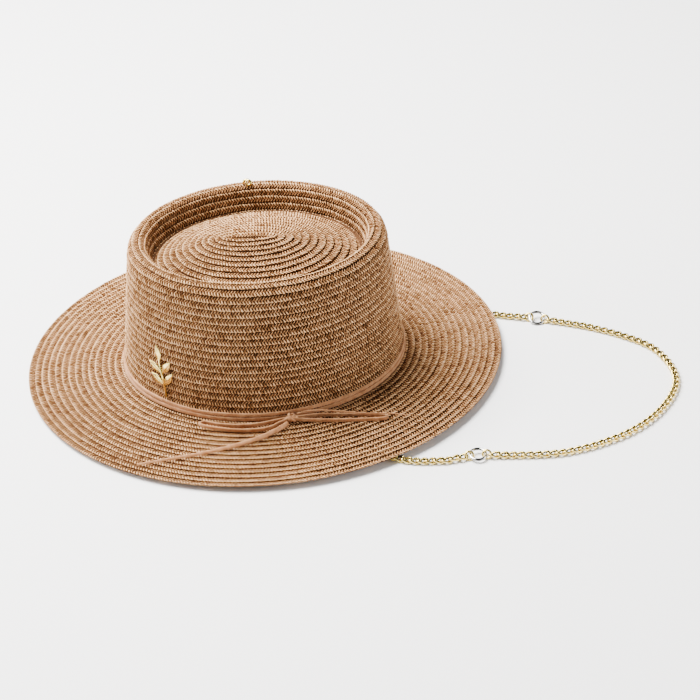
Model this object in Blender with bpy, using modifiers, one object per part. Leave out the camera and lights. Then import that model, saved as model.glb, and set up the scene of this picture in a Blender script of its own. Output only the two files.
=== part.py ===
"""Straw boater hat with a sunk crown tip, a lace band with a bow, and a curb chain.

Metres, +Z up. The hat lies on a level surface at z = 0. Its chain comes out under the
brim on the +X side and lies on the same surface. The origin is the middle of the whole
outline, on that surface. The hat's own pieces are modelled in the hat's frame, whose
z = 0 is the top of the brim at the crown's foot, and an empty sets that frame down.
"""
import math

import bmesh
import bpy
from mathutils import Matrix, Vector

# Clearance between pieces
GAP = 0.0003

# Straw: an oval of mean radius r is (r + OVAL) long and (r - OVAL) wide, each way
OVAL = 0.0070
STRAW = 0.0022
OVAL_SEGMENTS = 40

# Crown
CROWN_FOOT_RADIUS = 0.0946
CREST_RADIUS = 0.0766
CROWN_HEIGHT = 0.0976
SHOULDER_WIDTH = 0.0080
SHOULDER_HEIGHT = 0.0120
SHOULDER_STEPS = 3
LIP_RADIUS = 0.0040
LIP_STEPS = 2
RECESS_DEPTH = 0.0195
RECESS_LEAN = 0.0035
TIP_RISE = 0.0150
TIP_POWER = 1.6
TIP_SHARES = (0.72, 0.42, 0.0)

# Brim
BRIM_WIDTH = 0.0705
BRIM_DROOP = 0.0012
BRIM_FLAT_EDGE = 0.0120
BRIM_NOSE = 0.0010

# Lace, wrapped twice round the crown's foot and tied in a bow
LACE_HEIGHT = 0.0030
LACE_THICKNESS = 0.0012
LACE_TUBE_RADIUS = 0.0011
KNOT_ANGLE = math.radians(-77.2)
KNOT_LENGTH = 0.0110
KNOT_DEPTH = 0.0064
KNOT_HEIGHT = 0.0066

# Spacing of a lace route's points, in diameters
LACE_SPACING = 3.0

# Routes of the bow's lace over the brim, in the hat's frame: x, y, rise above the brim.
# They are stated for a crown foot of this mean radius, and move out or in with the foot.
ROUTES_FOOT_RADIUS = 0.0946
LOOP_LEFT_ROUTE = (
    (0.0150, -0.0912, 0.0012),
    (0.0030, -0.0918, 0.0006),
    (-0.0110, -0.0917, 0.0),
    (-0.0260, -0.0901, 0.0),
    (-0.0365, -0.0885, 0.0),
    (-0.0402, -0.0900, 0.0),
    (-0.0368, -0.0928, 0.0),
    (-0.0270, -0.0962, 0.0),
    (-0.0110, -0.0994, 0.0),
    (0.0040, -0.0992, 0.0),
    (0.0115, -0.0968, 0.0004),
    (0.0155, -0.0944, 0.0012),
)
LOOP_RIGHT_ROUTE = (
    (0.0300, -0.0884, 0.0012),
    (0.0420, -0.0860, 0.0005),
    (0.0580, -0.0858, 0.0),
    (0.0740, -0.0868, 0.0),
    (0.0860, -0.0880, 0.0),
    (0.0902, -0.0901, 0.0),
    (0.0850, -0.0918, 0.0),
    (0.0700, -0.0922, 0.0),
    (0.0550, -0.0920, 0.0),
    (0.0420, -0.0918, 0.0004),
    (0.0312, -0.0914, 0.0012),
)
TAIL_LEFT_ROUTE = (
    (0.0215, -0.0951, 0.0014),
    (0.0170, -0.0987, 0.0006),
    (0.0120, -0.1028, 0.0),
    (0.0048, -0.1082, 0.0),
    (-0.0052, -0.1133, 0.0),
    (-0.0151, -0.1176, 0.0),
    (-0.0284, -0.1218, 0.0),
    (-0.0424, -0.1253, 0.0),
    (-0.0604, -0.1288, 0.0),
    (-0.0790, -0.1326, 0.0),
)
TAIL_RIGHT_ROUTE = (
    (0.0280, -0.0912, 0.0062),
    (0.0360, -0.0890, 0.0066),
    (0.0460, -0.0881, 0.0060),
    (0.0620, -0.0884, 0.0042),
    (0.0740, -0.0893, 0.0033),
    (0.0840, -0.0899, 0.0032),
    (0.0915, -0.0902, 0.0027),
    (0.0975, -0.0902, 0.0010),
    (0.1035, -0.0900, 0.0),
)

# Gold sprig pinned on the crown's front left
SPRIG_ANGLE = math.radians(-131.5)
SPRIG_HEIGHT = 0.0245
SPRIG_STEM_LENGTH = 0.0300
SPRIG_STEM_RADIUS = 0.0009
SPRIG_STEM_TAPER = 0.7
SPRIG_LEAN = math.radians(14.0)
LEAF_LENGTH = 0.0135
LEAF_WIDTH = 0.0056
LEAF_THICKNESS = 0.0022
LEAF_POWER = 1.5
LEAF_SPREAD = math.radians(48.0)
LEAF_PAIRS = 2
# Shares of the stem's length from its middle, and of the tip leaf's length
FIRST_PAIR_SHARE = -0.22
PAIR_STEP_SHARE = 0.30
TIP_LEAF_OVERLAP = 0.35

# Gold staple on the crown's crest, at the back
STAPLE_ANGLE = math.radians(94.7)
STAPLE_RADIUS = 0.0030
STAPLE_WIRE_RADIUS = 0.0007

# Curb chain: outer length and width of a link, its wire, and how far its twist lifts the
# wire, which lets a link's sides pass over its neighbour's
LINK_LENGTH = 0.0092
LINK_WIDTH = 0.0054
LINK_WIRE_RADIUS = 0.00065
LINK_TWIST = 0.00095
LINK_BITE = 0.00032
LINK_SIDES = 10
LINK_WIRE_SIDES = 5
FIRST_LINK_SLACK = 0.0002
CHAIN_ROUTE_STEP = 0.0005

# Two plain rings in the chain, each held by a jump ring on both sides
RING_RADIUS = 0.0050
RING_WIRE_RADIUS = 0.0010
RING_SIDES = 16
RING_WIRE_SIDES = 6
JUMP_RADIUS = 0.00275
JUMP_WIRE_RADIUS = 0.00055
JUMP_SIDES = 12
JUMP_WIRE_SIDES = 5
JUMP_LEAN = math.radians(45.0)
RING_CLIMB = 0.0140

# Plain staples inside the crown that hold the chain's two ends
TAB_RADIUS = 0.0040
TAB_WIRE_RADIUS = 0.0009
TAB_HEIGHT = 0.0100

# The chain's plain ends: spacing of their route's points in diameters, and the points of
# their upright stretch in radii below the tab
TUBE_SPACING = 2.5
TUBE_DROPS = (4, 2, 0)

# Where the chain lies, from the hat's centre: x, y
RING_BACK_PLACE = (0.2014, 0.0226)
RING_FRONT_PLACE = (0.1431, -0.1365)
CHAIN_LONG_ROUTE = (
    (0.2340, 0.0095),
    (0.2600, -0.0060),
    (0.2800, -0.0255),
    (0.2892, -0.0550),
    (0.2835, -0.0810),
    (0.2630, -0.1090),
    (0.2340, -0.1285),
    (0.1960, -0.1395),
)
CHAIN_BACK_ROUTE = (
    (0.1730, 0.0310),
    (0.1400, 0.0430),
    (0.1050, 0.0560),
    (0.0700, 0.0665),
    (0.0380, 0.0700),
    (0.0160, 0.0725),
)
CHAIN_FRONT_ROUTE = (
    (0.1150, -0.1405),
    (0.0930, -0.1360),
    (0.0640, -0.1160),
    (0.0400, -0.0970),
    (0.0230, -0.0850),
    (0.0110, -0.0790),
)

# Where the brim crosses over the chain, from the hat's centre: x, y
CROSSING_BACK = (0.1700, 0.0320)
CROSSING_FRONT = (0.0930, -0.1360)

# Turn of the hat about the vertical
HAT_TURN = math.radians(-3.0)


# Sizes worked out from those above

BRIM_RADIUS = CROWN_FOOT_RADIUS + BRIM_WIDTH
CROWN_INNER_RADIUS = CROWN_FOOT_RADIUS - STRAW
SHOULDER_BASE_RADIUS = CREST_RADIUS + SHOULDER_WIDTH
SHOULDER_BASE_HEIGHT = CROWN_HEIGHT - SHOULDER_HEIGHT
WALL_SLOPE = (CROWN_FOOT_RADIUS - SHOULDER_BASE_RADIUS) / SHOULDER_BASE_HEIGHT
TIP_EDGE_RADIUS = CREST_RADIUS - LIP_RADIUS - RECESS_LEAN
LINK_HALF_RUN = LINK_LENGTH / 2 - LINK_WIRE_RADIUS
LINK_HALF_SPAN = LINK_WIDTH / 2 - LINK_WIRE_RADIUS
LINK_PITCH = 2 * LINK_HALF_RUN - 2 * LINK_WIRE_RADIUS + LINK_BITE
CHAIN_THICKNESS = 2 * (LINK_TWIST + LINK_WIRE_RADIUS)
CHAIN_REST = CHAIN_THICKNESS / 2
RING_REST = (JUMP_RADIUS * math.sin(JUMP_LEAN)) + JUMP_WIRE_RADIUS
JUMP_PLACE = RING_RADIUS + JUMP_RADIUS - RING_WIRE_RADIUS - JUMP_WIRE_RADIUS - GAP
FIRST_LINK_END = RING_RADIUS + RING_WIRE_RADIUS + LINK_WIRE_RADIUS + GAP + FIRST_LINK_SLACK
TUBE_START = JUMP_PLACE + JUMP_RADIUS + JUMP_WIRE_RADIUS + GAP


def clear_scene():
    """Remove whatever the scene holds."""
    for item in list(bpy.data.objects):
        bpy.data.objects.remove(item, do_unlink=True)


def new_collection(name):
    """A collection linked to the scene."""
    collection = bpy.data.collections.new(name)
    bpy.context.scene.collection.children.link(collection)
    return collection


def new_material(name, colour, roughness, metallic=0.0):
    """A plain Principled material."""
    material = bpy.data.materials.new(name)
    material.use_nodes = True
    shader = material.node_tree.nodes["Principled BSDF"]
    shader.inputs["Base Color"].default_value = (*colour, 1.0)
    shader.inputs["Roughness"].default_value = roughness
    shader.inputs["Metallic"].default_value = metallic
    return material


def finish_object(item, material, collection, parent=None, smooth=True):
    """Give an object its material, its collection, its parent and smooth shading."""
    for owner in list(item.users_collection):
        owner.objects.unlink(item)
    collection.objects.link(item)
    item.data.materials.clear()
    item.data.materials.append(material)
    item.parent = parent
    if smooth and item.type == "MESH":
        item.data.shade_smooth()
        item.data.set_sharp_from_angle(angle=math.radians(40.0))
    return item


def mesh_object(name, mesh_data):
    """A mesh object from a bmesh, which is freed."""
    mesh = bpy.data.meshes.new(name)
    mesh_data.to_mesh(mesh)
    mesh_data.free()
    return bpy.data.objects.new(name, mesh)


def oval_point(mean_radius, angle, height=0.0):
    """Point of the hat's oval with this mean radius."""
    return Vector((
        (mean_radius + OVAL) * math.cos(angle),
        (mean_radius - OVAL) * math.sin(angle),
        height,
    ))


def oval_normal(mean_radius, angle):
    """Level direction out of that oval."""
    normal = Vector((
        (mean_radius - OVAL) * math.cos(angle),
        (mean_radius + OVAL) * math.sin(angle),
        0.0,
    ))
    return normal.normalized()


def mean_radius_at(x, y):
    """Mean radius of the oval that passes through a point of the brim."""
    low = OVAL + 0.001
    high = 2 * BRIM_RADIUS
    for _ in range(40):
        middle = (low + high) / 2
        if (x / (middle + OVAL)) ** 2 + (y / (middle - OVAL)) ** 2 > 1.0:
            low = middle
        else:
            high = middle
    return low


def wall_radius(height):
    """Mean radius of the crown's outer wall at a height."""
    return CROWN_FOOT_RADIUS - WALL_SLOPE * height


def brim_top(mean_radius):
    """Height of the brim's top face: it droops evenly as far as its flat edge."""
    span = BRIM_WIDTH - BRIM_FLAT_EDGE
    share = (mean_radius - CROWN_FOOT_RADIUS) / span
    return -BRIM_DROOP * min(max(share, 0.0), 1.0)


def oval_loft(name, rows, closed):
    """Skin of ovals through (mean radius, height) rows, outward for rows that rise."""
    mesh_data = bmesh.new()
    rings = []
    for mean_radius, height in rows:
        ring = []
        for step in range(OVAL_SEGMENTS):
            angle = 2 * math.pi * step / OVAL_SEGMENTS
            ring.append(mesh_data.verts.new(oval_point(mean_radius, angle, height)))
        rings.append(ring)
    pairs = list(zip(rings, rings[1:]))
    if closed:
        pairs.append((rings[-1], rings[0]))
    for lower, upper in pairs:
        for step in range(OVAL_SEGMENTS):
            following = (step + 1) % OVAL_SEGMENTS
            mesh_data.faces.new((lower[step], lower[following], upper[following], upper[step]))
    bmesh.ops.remove_doubles(mesh_data, verts=mesh_data.verts, dist=0.00001)
    return mesh_object(name, mesh_data)


def crown_rows():
    """Outer face of the crown, from its foot over the crest to the middle of its tip."""
    rows = [(CROWN_FOOT_RADIUS, GAP + STRAW * WALL_SLOPE)]
    for step in range(SHOULDER_STEPS + 1):
        angle = math.pi / 2 * step / SHOULDER_STEPS
        radius = CREST_RADIUS + SHOULDER_WIDTH * math.cos(angle)
        rows.append((radius, SHOULDER_BASE_HEIGHT + SHOULDER_HEIGHT * math.sin(angle)))
    for step in range(1, LIP_STEPS + 1):
        angle = math.pi / 2 * step / LIP_STEPS
        radius = CREST_RADIUS - LIP_RADIUS * math.sin(angle)
        rows.append((radius, CROWN_HEIGHT - LIP_RADIUS * (1 - math.cos(angle))))
    tip_edge_height = CROWN_HEIGHT - RECESS_DEPTH
    rows.append((TIP_EDGE_RADIUS, tip_edge_height))
    for share in TIP_SHARES:
        radius = OVAL + (TIP_EDGE_RADIUS - OVAL) * share
        rows.append((radius, tip_edge_height + TIP_RISE * (1 - share ** TIP_POWER)))
    return rows


def make_crown(material, collection, hat):
    """Crown: an open straw shell with its tip sunk below the crest."""
    crown = oval_loft("crown", crown_rows(), closed=False)
    shell = crown.modifiers.new("straw", "SOLIDIFY")
    shell.thickness = STRAW
    shell.offset = -1.0
    shell.use_even_offset = True
    return finish_object(crown, material, collection, hat)


def brim_rows():
    """Section of the brim, round from its inner lower edge."""
    flat_start = BRIM_RADIUS - BRIM_FLAT_EDGE
    nose_start = BRIM_RADIUS - BRIM_NOSE
    under = [
        (CROWN_INNER_RADIUS, -STRAW),
        (CROWN_FOOT_RADIUS, -STRAW),
        (flat_start, -BRIM_DROOP - STRAW),
        (nose_start, -BRIM_DROOP - STRAW),
    ]
    nose = [(BRIM_RADIUS, -BRIM_DROOP - STRAW / 2)]
    top = [(radius, height + STRAW) for radius, height in reversed(under)]
    return under + nose + top


def make_brim(material, collection, hat):
    """Brim: a nearly flat straw ring under the crown's foot."""
    brim = oval_loft("brim", brim_rows(), closed=True)
    return finish_object(brim, material, collection, hat)


def band_base(wrap):
    """Height of a wrap's lower edge: each wrap lies on the one below it."""
    return GAP + wrap * (LACE_HEIGHT + GAP)


def make_bands(material, collection, hat):
    """Two wraps of flat lace round the crown's foot, one above the other."""
    for wrap, name in enumerate(("band_lower", "band_upper")):
        low = band_base(wrap)
        high = low + LACE_HEIGHT
        inner_low = wall_radius(low) + GAP
        inner_high = wall_radius(high) + GAP
        rows = [
            (inner_low, low),
            (inner_low + LACE_THICKNESS, low),
            (inner_high + LACE_THICKNESS, high),
            (inner_high, high),
        ]
        band = oval_loft(name, rows, closed=True)
        finish_object(band, material, collection, hat)


def band_face_radius():
    """Mean radius of the band's outer face at its foot."""
    return wall_radius(band_base(0)) + GAP + LACE_THICKNESS


def make_knot(material, collection, hat):
    """The bow's knot, against the band."""
    mesh_data = bmesh.new()
    bmesh.ops.create_uvsphere(mesh_data, u_segments=10, v_segments=7, radius=0.5)
    turn_poles_along_x = Matrix.Rotation(math.pi / 2, 4, "Y")
    bmesh.ops.transform(mesh_data, matrix=turn_poles_along_x, verts=mesh_data.verts)
    size = Vector((KNOT_LENGTH, KNOT_DEPTH, KNOT_HEIGHT))
    bmesh.ops.scale(mesh_data, vec=size, verts=mesh_data.verts)
    knot = mesh_object("bow_knot", mesh_data)
    face = band_face_radius()
    outward = oval_normal(face, KNOT_ANGLE)
    place = oval_point(face, KNOT_ANGLE) + outward * (GAP + KNOT_DEPTH / 2)
    place.z = GAP + KNOT_HEIGHT / 2
    knot.location = place
    knot.rotation_euler.z = math.atan2(outward.y, outward.x) + math.pi / 2
    return finish_object(knot, material, collection, hat)


def curve_point(points, index, share):
    """Point between two neighbours of a smooth curve through all the points."""
    last = len(points) - 1
    before = points[max(index - 1, 0)]
    start = points[index]
    end = points[min(index + 1, last)]
    after = points[min(index + 2, last)]
    return 0.5 * (
        2 * start
        + (end - before) * share
        + (2 * before - 5 * start + 4 * end - after) * share ** 2
        + (3 * start - before - 3 * end + after) * share ** 3
    )


def smooth_route(points, spacing):
    """Points an even distance apart along a smooth curve through the chosen points."""
    fine_steps = 24
    fine = []
    for index in range(len(points) - 1):
        for step in range(fine_steps):
            fine.append(curve_point(points, index, step / fine_steps))
    fine.append(points[-1].copy())
    lengths = [0.0]
    for start, end in zip(fine, fine[1:]):
        lengths.append(lengths[-1] + (end - start).length)
    count = max(2, round(lengths[-1] / spacing))
    route = []
    cursor = 0
    for step in range(count + 1):
        target = lengths[-1] * step / count
        while cursor < len(lengths) - 2 and lengths[cursor + 1] < target:
            cursor += 1
        run = lengths[cursor + 1] - lengths[cursor]
        share = (target - lengths[cursor]) / run
        route.append(fine[cursor].lerp(fine[cursor + 1], share))
    return route


def make_tube(name, points, radius, material, collection, parent=None):
    """Round tube with filled ends along the points."""
    curve = bpy.data.curves.new(name, "CURVE")
    curve.dimensions = "3D"
    curve.bevel_depth = radius
    curve.bevel_resolution = 2
    curve.use_fill_caps = True
    spline = curve.splines.new("POLY")
    spline.points.add(len(points) - 1)
    for target, point in zip(spline.points, points):
        target.co = (*point, 1.0)
    tube = bpy.data.objects.new(name, curve)
    return finish_object(tube, material, collection, parent)


def lace_route(table):
    """Smooth route of a lace that lies on the brim, from its table of places and rises."""
    points = []
    for x, y, rise in table:
        place = Vector((x, y, 0))
        place += place.normalized() * (CROWN_FOOT_RADIUS - ROUTES_FOOT_RADIUS)
        rest = brim_top(mean_radius_at(place.x, place.y)) + GAP + LACE_TUBE_RADIUS
        place.z = rest + rise
        points.append(place)
    return smooth_route(points, LACE_SPACING * 2 * LACE_TUBE_RADIUS)


def make_bow(material, collection, hat):
    """The bow's two loops and two tails."""
    tables = {
        "bow_loop_left": LOOP_LEFT_ROUTE,
        "bow_loop_right": LOOP_RIGHT_ROUTE,
        "bow_tail_left": TAIL_LEFT_ROUTE,
        "bow_tail_right": TAIL_RIGHT_ROUTE,
    }
    for name, table in tables.items():
        make_tube(name, lace_route(table), LACE_TUBE_RADIUS, material, collection, hat)


def leaf_mesh(length, width, thickness):
    """A leaf with pointed ends, its foot at the origin, pointing along +Z."""
    mesh_data = bmesh.new()
    bmesh.ops.create_uvsphere(mesh_data, u_segments=8, v_segments=6, radius=1.0)
    for vert in mesh_data.verts:
        along = vert.co.z
        fullness = 1 - abs(along) ** LEAF_POWER
        rim = math.hypot(vert.co.x, vert.co.y)
        shrink = fullness / rim if rim > 0.001 else 0.0
        vert.co.x *= shrink * width / 2
        vert.co.y *= shrink * thickness / 2
        vert.co.z = (along + 1) * length / 2
    return mesh_data


def make_sprig(material, collection, cutters, hat):
    """Gold sprig: a stem with pairs of leaves and one at its tip, soldered into one solid."""
    stem_data = bmesh.new()
    bmesh.ops.create_cone(
        stem_data, cap_ends=True, segments=8,
        radius1=SPRIG_STEM_RADIUS, radius2=SPRIG_STEM_RADIUS * SPRIG_STEM_TAPER,
        depth=SPRIG_STEM_LENGTH,
    )
    sprig = mesh_object("sprig", stem_data)
    leaves = bmesh.new()
    tip_height = SPRIG_STEM_LENGTH / 2 - LEAF_LENGTH * TIP_LEAF_OVERLAP
    tip = Matrix.Translation((0, 0, tip_height))
    placings = [tip]
    for pair in range(LEAF_PAIRS):
        height = SPRIG_STEM_LENGTH * (FIRST_PAIR_SHARE + PAIR_STEP_SHARE * pair)
        for side in (-1, 1):
            turn = Matrix.Rotation(side * LEAF_SPREAD, 4, "Y")
            placings.append(Matrix.Translation((0, 0, height)) @ turn)
    for placing in placings:
        leaf = leaf_mesh(LEAF_LENGTH, LEAF_WIDTH, LEAF_THICKNESS)
        leaf.transform(placing)
        mesh = bpy.data.meshes.new("leaf")
        leaf.to_mesh(mesh)
        leaf.free()
        leaves.from_mesh(mesh)
        bpy.data.meshes.remove(mesh)
    leaf_cutter = mesh_object("sprig_leaves", leaves)
    hide_cutter(leaf_cutter, cutters)
    add_union(sprig, leaf_cutter)
    outward = oval_normal(wall_radius(SPRIG_HEIGHT), SPRIG_ANGLE)
    off_the_wall = Vector((outward.x, outward.y, WALL_SLOPE)).normalized()
    up_the_wall = Vector((-outward.x * WALL_SLOPE, -outward.y * WALL_SLOPE, 1)).normalized()
    across = off_the_wall.cross(up_the_wall)
    axes = Matrix((across, off_the_wall, up_the_wall)).transposed().to_4x4()
    place = oval_point(wall_radius(SPRIG_HEIGHT), SPRIG_ANGLE, SPRIG_HEIGHT)
    place += off_the_wall * (GAP + LEAF_THICKNESS / 2)
    pose = Matrix.Translation(place) @ axes @ Matrix.Rotation(SPRIG_LEAN, 4, "Y")
    for item in (sprig, leaf_cutter):
        item.parent = hat
        item.matrix_local = pose
    finish_object(sprig, material, collection, hat)
    return sprig


def hide_cutter(item, cutters):
    """Put a helper where it is neither rendered nor taken for a piece."""
    cutters.objects.link(item)
    item.hide_render = True
    item.display_type = "WIRE"


def add_union(item, helper):
    """Fuse the helper's shape into an object."""
    union = item.modifiers.new("solder", "BOOLEAN")
    union.operation = "UNION"
    union.solver = "EXACT"
    union.object = helper


def half_ring_points(centre, along, outward, radius, steps=8):
    """Points of a half ring that stands outward from its two feet."""
    points = []
    for step in range(steps + 1):
        angle = math.pi * step / steps
        points.append(centre + along * radius * math.cos(angle) + outward * radius * math.sin(angle))
    return points


def make_crest_staple(material, collection, hat):
    """Small gold staple that stands on the crest at the back."""
    centre = oval_point(CREST_RADIUS, STAPLE_ANGLE, CROWN_HEIGHT + GAP)
    outward = oval_normal(CREST_RADIUS, STAPLE_ANGLE)
    along = Vector((-outward.y, outward.x, 0))
    points = half_ring_points(centre, along, Vector((0, 0, 1)), STAPLE_RADIUS)
    return make_tube("crest_staple", points, STAPLE_WIRE_RADIUS, material, collection, hat)


def tab_seat(side):
    """Middle of a tab's foot line, on the crown's inner wall. side is 1 at +Y, -1 at -Y."""
    inner = wall_radius(TAB_HEIGHT + TAB_WIRE_RADIUS) - STRAW / math.cos(math.atan(WALL_SLOPE))
    sag = TAB_RADIUS ** 2 / (2 * (inner + OVAL))
    return Vector((0, side * (inner - OVAL - GAP - 2 * sag), TAB_HEIGHT))


def make_tabs(material, collection, hat):
    """Half rings on the crown's inner wall, level, that hold the chain's ends."""
    for name, side in (("chain_tab_back", 1), ("chain_tab_front", -1)):
        inward = Vector((0, -side, 0))
        points = half_ring_points(tab_seat(side), Vector((1, 0, 0)), inward, TAB_RADIUS)
        make_tube(name, points, TAB_WIRE_RADIUS, material, collection, hat)


def lowest_of_brim(tilt):
    """Lowest level that the tilted brim's lower edge reaches."""
    levels = []
    for step in range(OVAL_SEGMENTS):
        angle = 2 * math.pi * step / OVAL_SEGMENTS
        edge = oval_point(BRIM_RADIUS - BRIM_NOSE, angle, -BRIM_DROOP - STRAW)
        levels.append((tilt @ edge).z)
    return min(levels)


def hat_frame():
    """Frame that sets the hat down: its -X edge on the surface, its +X side on the chain."""
    lift = CHAIN_THICKNESS + GAP
    far_edge = Vector((-(BRIM_RADIUS + OVAL), 0, 0))
    back = Vector((*CROSSING_BACK, lift))
    front = Vector((*CROSSING_FRONT, lift))
    normal = (back - far_edge).cross(far_edge - front).normalized()
    if normal.z < 0:
        normal.negate()
    tilt = Vector((0, 0, 1)).rotation_difference(normal).to_matrix().to_4x4()
    turned = tilt @ Matrix.Rotation(HAT_TURN, 4, "Z")
    return Matrix.Translation((HAT_X, 0, -lowest_of_brim(turned))) @ turned


def chain_reach():
    """How far the long chain reaches along +X, from the hat's centre."""
    points = [Vector((x, y, 0)) for x, y in CHAIN_LONG_ROUTE]
    route = smooth_route(points, LINK_PITCH)
    return max(point.x for point in route) + LINK_WIDTH / 2


HAT_X = (BRIM_RADIUS + OVAL - chain_reach()) / 2


def on_floor(place, height):
    """A place given from the hat's centre, at a height above the surface."""
    return Vector((place[0] + HAT_X, place[1], height))


def along_frame(point, direction, roll=0.0):
    """Frame at a point whose x runs along a direction, rolled about it."""
    forward = direction.normalized()
    side = Vector((0, 0, 1)).cross(forward).normalized()
    up = forward.cross(side)
    axes = Matrix((forward, side, up)).transposed().to_4x4()
    return Matrix.Translation(point) @ axes @ Matrix.Rotation(roll, 4, "X")


def link_mesh():
    """One curb link: a torus drawn out to an oval and twisted so that it lies flat.

    Its sections are half a step round from its ends, so a straight stretch of wire meets
    the next link's there, and each section has a ridge on its inner side.
    """
    half_step = math.pi / LINK_SIDES
    section_turn = math.pi / LINK_WIRE_SIDES
    bpy.ops.mesh.primitive_torus_add(
        major_segments=LINK_SIDES, minor_segments=LINK_WIRE_SIDES,
        major_radius=1.0, minor_radius=LINK_WIRE_RADIUS,
    )
    link = bpy.context.object
    for vert in link.data.vertices:
        angle = math.atan2(vert.co.y, vert.co.x) + half_step
        rim = math.hypot(vert.co.x, vert.co.y) - 1.0
        outward = rim * math.cos(section_turn) - vert.co.z * math.sin(section_turn)
        upward = rim * math.sin(section_turn) + vert.co.z * math.cos(section_turn)
        centre = Vector((
            LINK_HALF_RUN * math.cos(angle) / math.cos(half_step),
            LINK_HALF_SPAN * math.sin(angle),
            LINK_TWIST * math.sin(2 * angle),
        ))
        normal = Vector((
            LINK_HALF_SPAN * math.cos(angle),
            LINK_HALF_RUN * math.sin(angle),
            0,
        )).normalized()
        vert.co = centre + normal * outward + Vector((0, 0, upward))
    mesh = link.data
    bpy.data.objects.remove(link, do_unlink=True)
    return mesh


def route_height(distance):
    """Height of the chain's middle, which climbs to the ring that it hangs on."""
    share = (distance - FIRST_LINK_END) / RING_CLIMB
    share = min(max(share, 0.0), 1.0)
    ease = share * share * (3 - 2 * share)
    return RING_REST + (CHAIN_REST - RING_REST) * ease


def long_chain_points():
    """Fine route of the long chain from the back ring's centre to the front ring's."""
    places = (RING_BACK_PLACE, *CHAIN_LONG_ROUTE, RING_FRONT_PLACE)
    level = smooth_route([on_floor(place, 0) for place in places], CHAIN_ROUTE_STEP)
    total = sum((end - start).length for start, end in zip(level, level[1:]))
    travelled = 0.0
    points = []
    previous = level[0]
    for point in level:
        travelled += (point - previous).length
        previous = point
        height = route_height(min(travelled, total - travelled))
        points.append(Vector((point.x, point.y, height)))
    return points


def point_at(points, distance):
    """Point and direction at a distance along fine points."""
    travelled = 0.0
    for start, end in zip(points, points[1:]):
        run = (end - start).length
        if travelled + run >= distance:
            share = (distance - travelled) / run
            return start.lerp(end, share), (end - start).normalized()
        travelled += run
    return points[-1].copy(), (points[-1] - points[-2]).normalized()


def make_long_chain(material, collection, cutters):
    """Curb chain between the two rings, every link fused to the next where they touch."""
    points = long_chain_points()
    total = sum((end - start).length for start, end in zip(points, points[1:]))
    first = FIRST_LINK_END + LINK_HALF_RUN
    steps = round((total - 2 * first) / LINK_PITCH)
    link = link_mesh()
    halves = (bmesh.new(), bmesh.new())
    for step in range(steps + 1):
        distance = first + (total - 2 * first) * step / steps
        ahead, _ = point_at(points, distance + LINK_HALF_RUN)
        behind, _ = point_at(points, distance - LINK_HALF_RUN)
        middle, _ = point_at(points, distance)
        copy = link.copy()
        copy.transform(along_frame(middle, ahead - behind))
        halves[step % 2].from_mesh(copy)
        bpy.data.meshes.remove(copy)
    bpy.data.meshes.remove(link)
    chain = mesh_object("chain_long", halves[0])
    other_half = mesh_object("chain_long_other_links", halves[1])
    hide_cutter(other_half, cutters)
    add_union(chain, other_half)
    finish_object(chain, material, collection)
    return points, total


def make_ring(name, radius, wire_radius, sides, wire_sides, frame, material, collection):
    """A round wire ring in the plane of a frame."""
    bpy.ops.mesh.primitive_torus_add(
        major_segments=sides, minor_segments=wire_sides,
        major_radius=radius, minor_radius=wire_radius,
    )
    ring = bpy.context.object
    ring.name = name
    ring.data.name = name
    ring.matrix_world = frame
    return finish_object(ring, material, collection)


def make_rings(points, total, ring_material, gold, collection):
    """The two plain rings, with a jump ring on each side of both."""
    ends = {
        "back": (RING_BACK_PLACE, points, 0.0, 1),
        "front": (RING_FRONT_PLACE, points, total, -1),
    }
    tube_starts = {}
    for name, (place, route, distance, sign) in ends.items():
        centre = on_floor(place, RING_REST)
        near, _ = point_at(route, distance + sign * JUMP_PLACE)
        toward_long = near - centre
        toward_long.z = 0
        toward_long.normalize()
        rest_table = CHAIN_BACK_ROUTE if name == "back" else CHAIN_FRONT_ROUTE
        toward_hat = on_floor(rest_table[0], RING_REST) - centre
        toward_hat.normalize()
        make_ring(
            "ring_" + name, RING_RADIUS, RING_WIRE_RADIUS, RING_SIDES, RING_WIRE_SIDES,
            Matrix.Translation(centre), ring_material, collection,
        )
        for suffix, direction in (("long", toward_long), ("hat", toward_hat)):
            frame = along_frame(centre + direction * JUMP_PLACE, direction, JUMP_LEAN)
            make_ring(
                "jump_" + name + "_" + suffix, JUMP_RADIUS, JUMP_WIRE_RADIUS,
                JUMP_SIDES, JUMP_WIRE_SIDES, frame, gold, collection,
            )
        tube_starts[name] = (centre, toward_hat)
    return tube_starts


def make_short_chains(tube_starts, frame, material, collection):
    """The chain's two ends, from a ring under the brim to a tab inside the crown."""
    tables = {"back": (CHAIN_BACK_ROUTE, 1), "front": (CHAIN_FRONT_ROUTE, -1)}
    radius = CHAIN_THICKNESS / 2
    for name, (table, side) in tables.items():
        centre, direction = tube_starts[name]
        points = []
        for distance in (TUBE_START, TUBE_START + RING_CLIMB / 2, TUBE_START + RING_CLIMB):
            height = route_height(distance - TUBE_START + FIRST_LINK_END)
            point = centre + direction * distance
            points.append(Vector((point.x, point.y, height)))
        for place in table:
            point = on_floor(place, radius)
            if (point - centre).length > TUBE_START + 2 * RING_CLIMB:
                points.append(point)
        under_tab = tab_seat(side)
        under_tab.y -= side * TAB_RADIUS
        under_tab.z -= TAB_WIRE_RADIUS + GAP
        top = frame @ under_tab
        for drop in TUBE_DROPS:
            points.append(top - Vector((0, 0, drop * radius)))
        route = smooth_route(points, TUBE_SPACING * 2 * radius)
        for point in route:
            point.z = max(point.z, radius)
        make_tube("chain_" + name, route, radius, material, collection)


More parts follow.
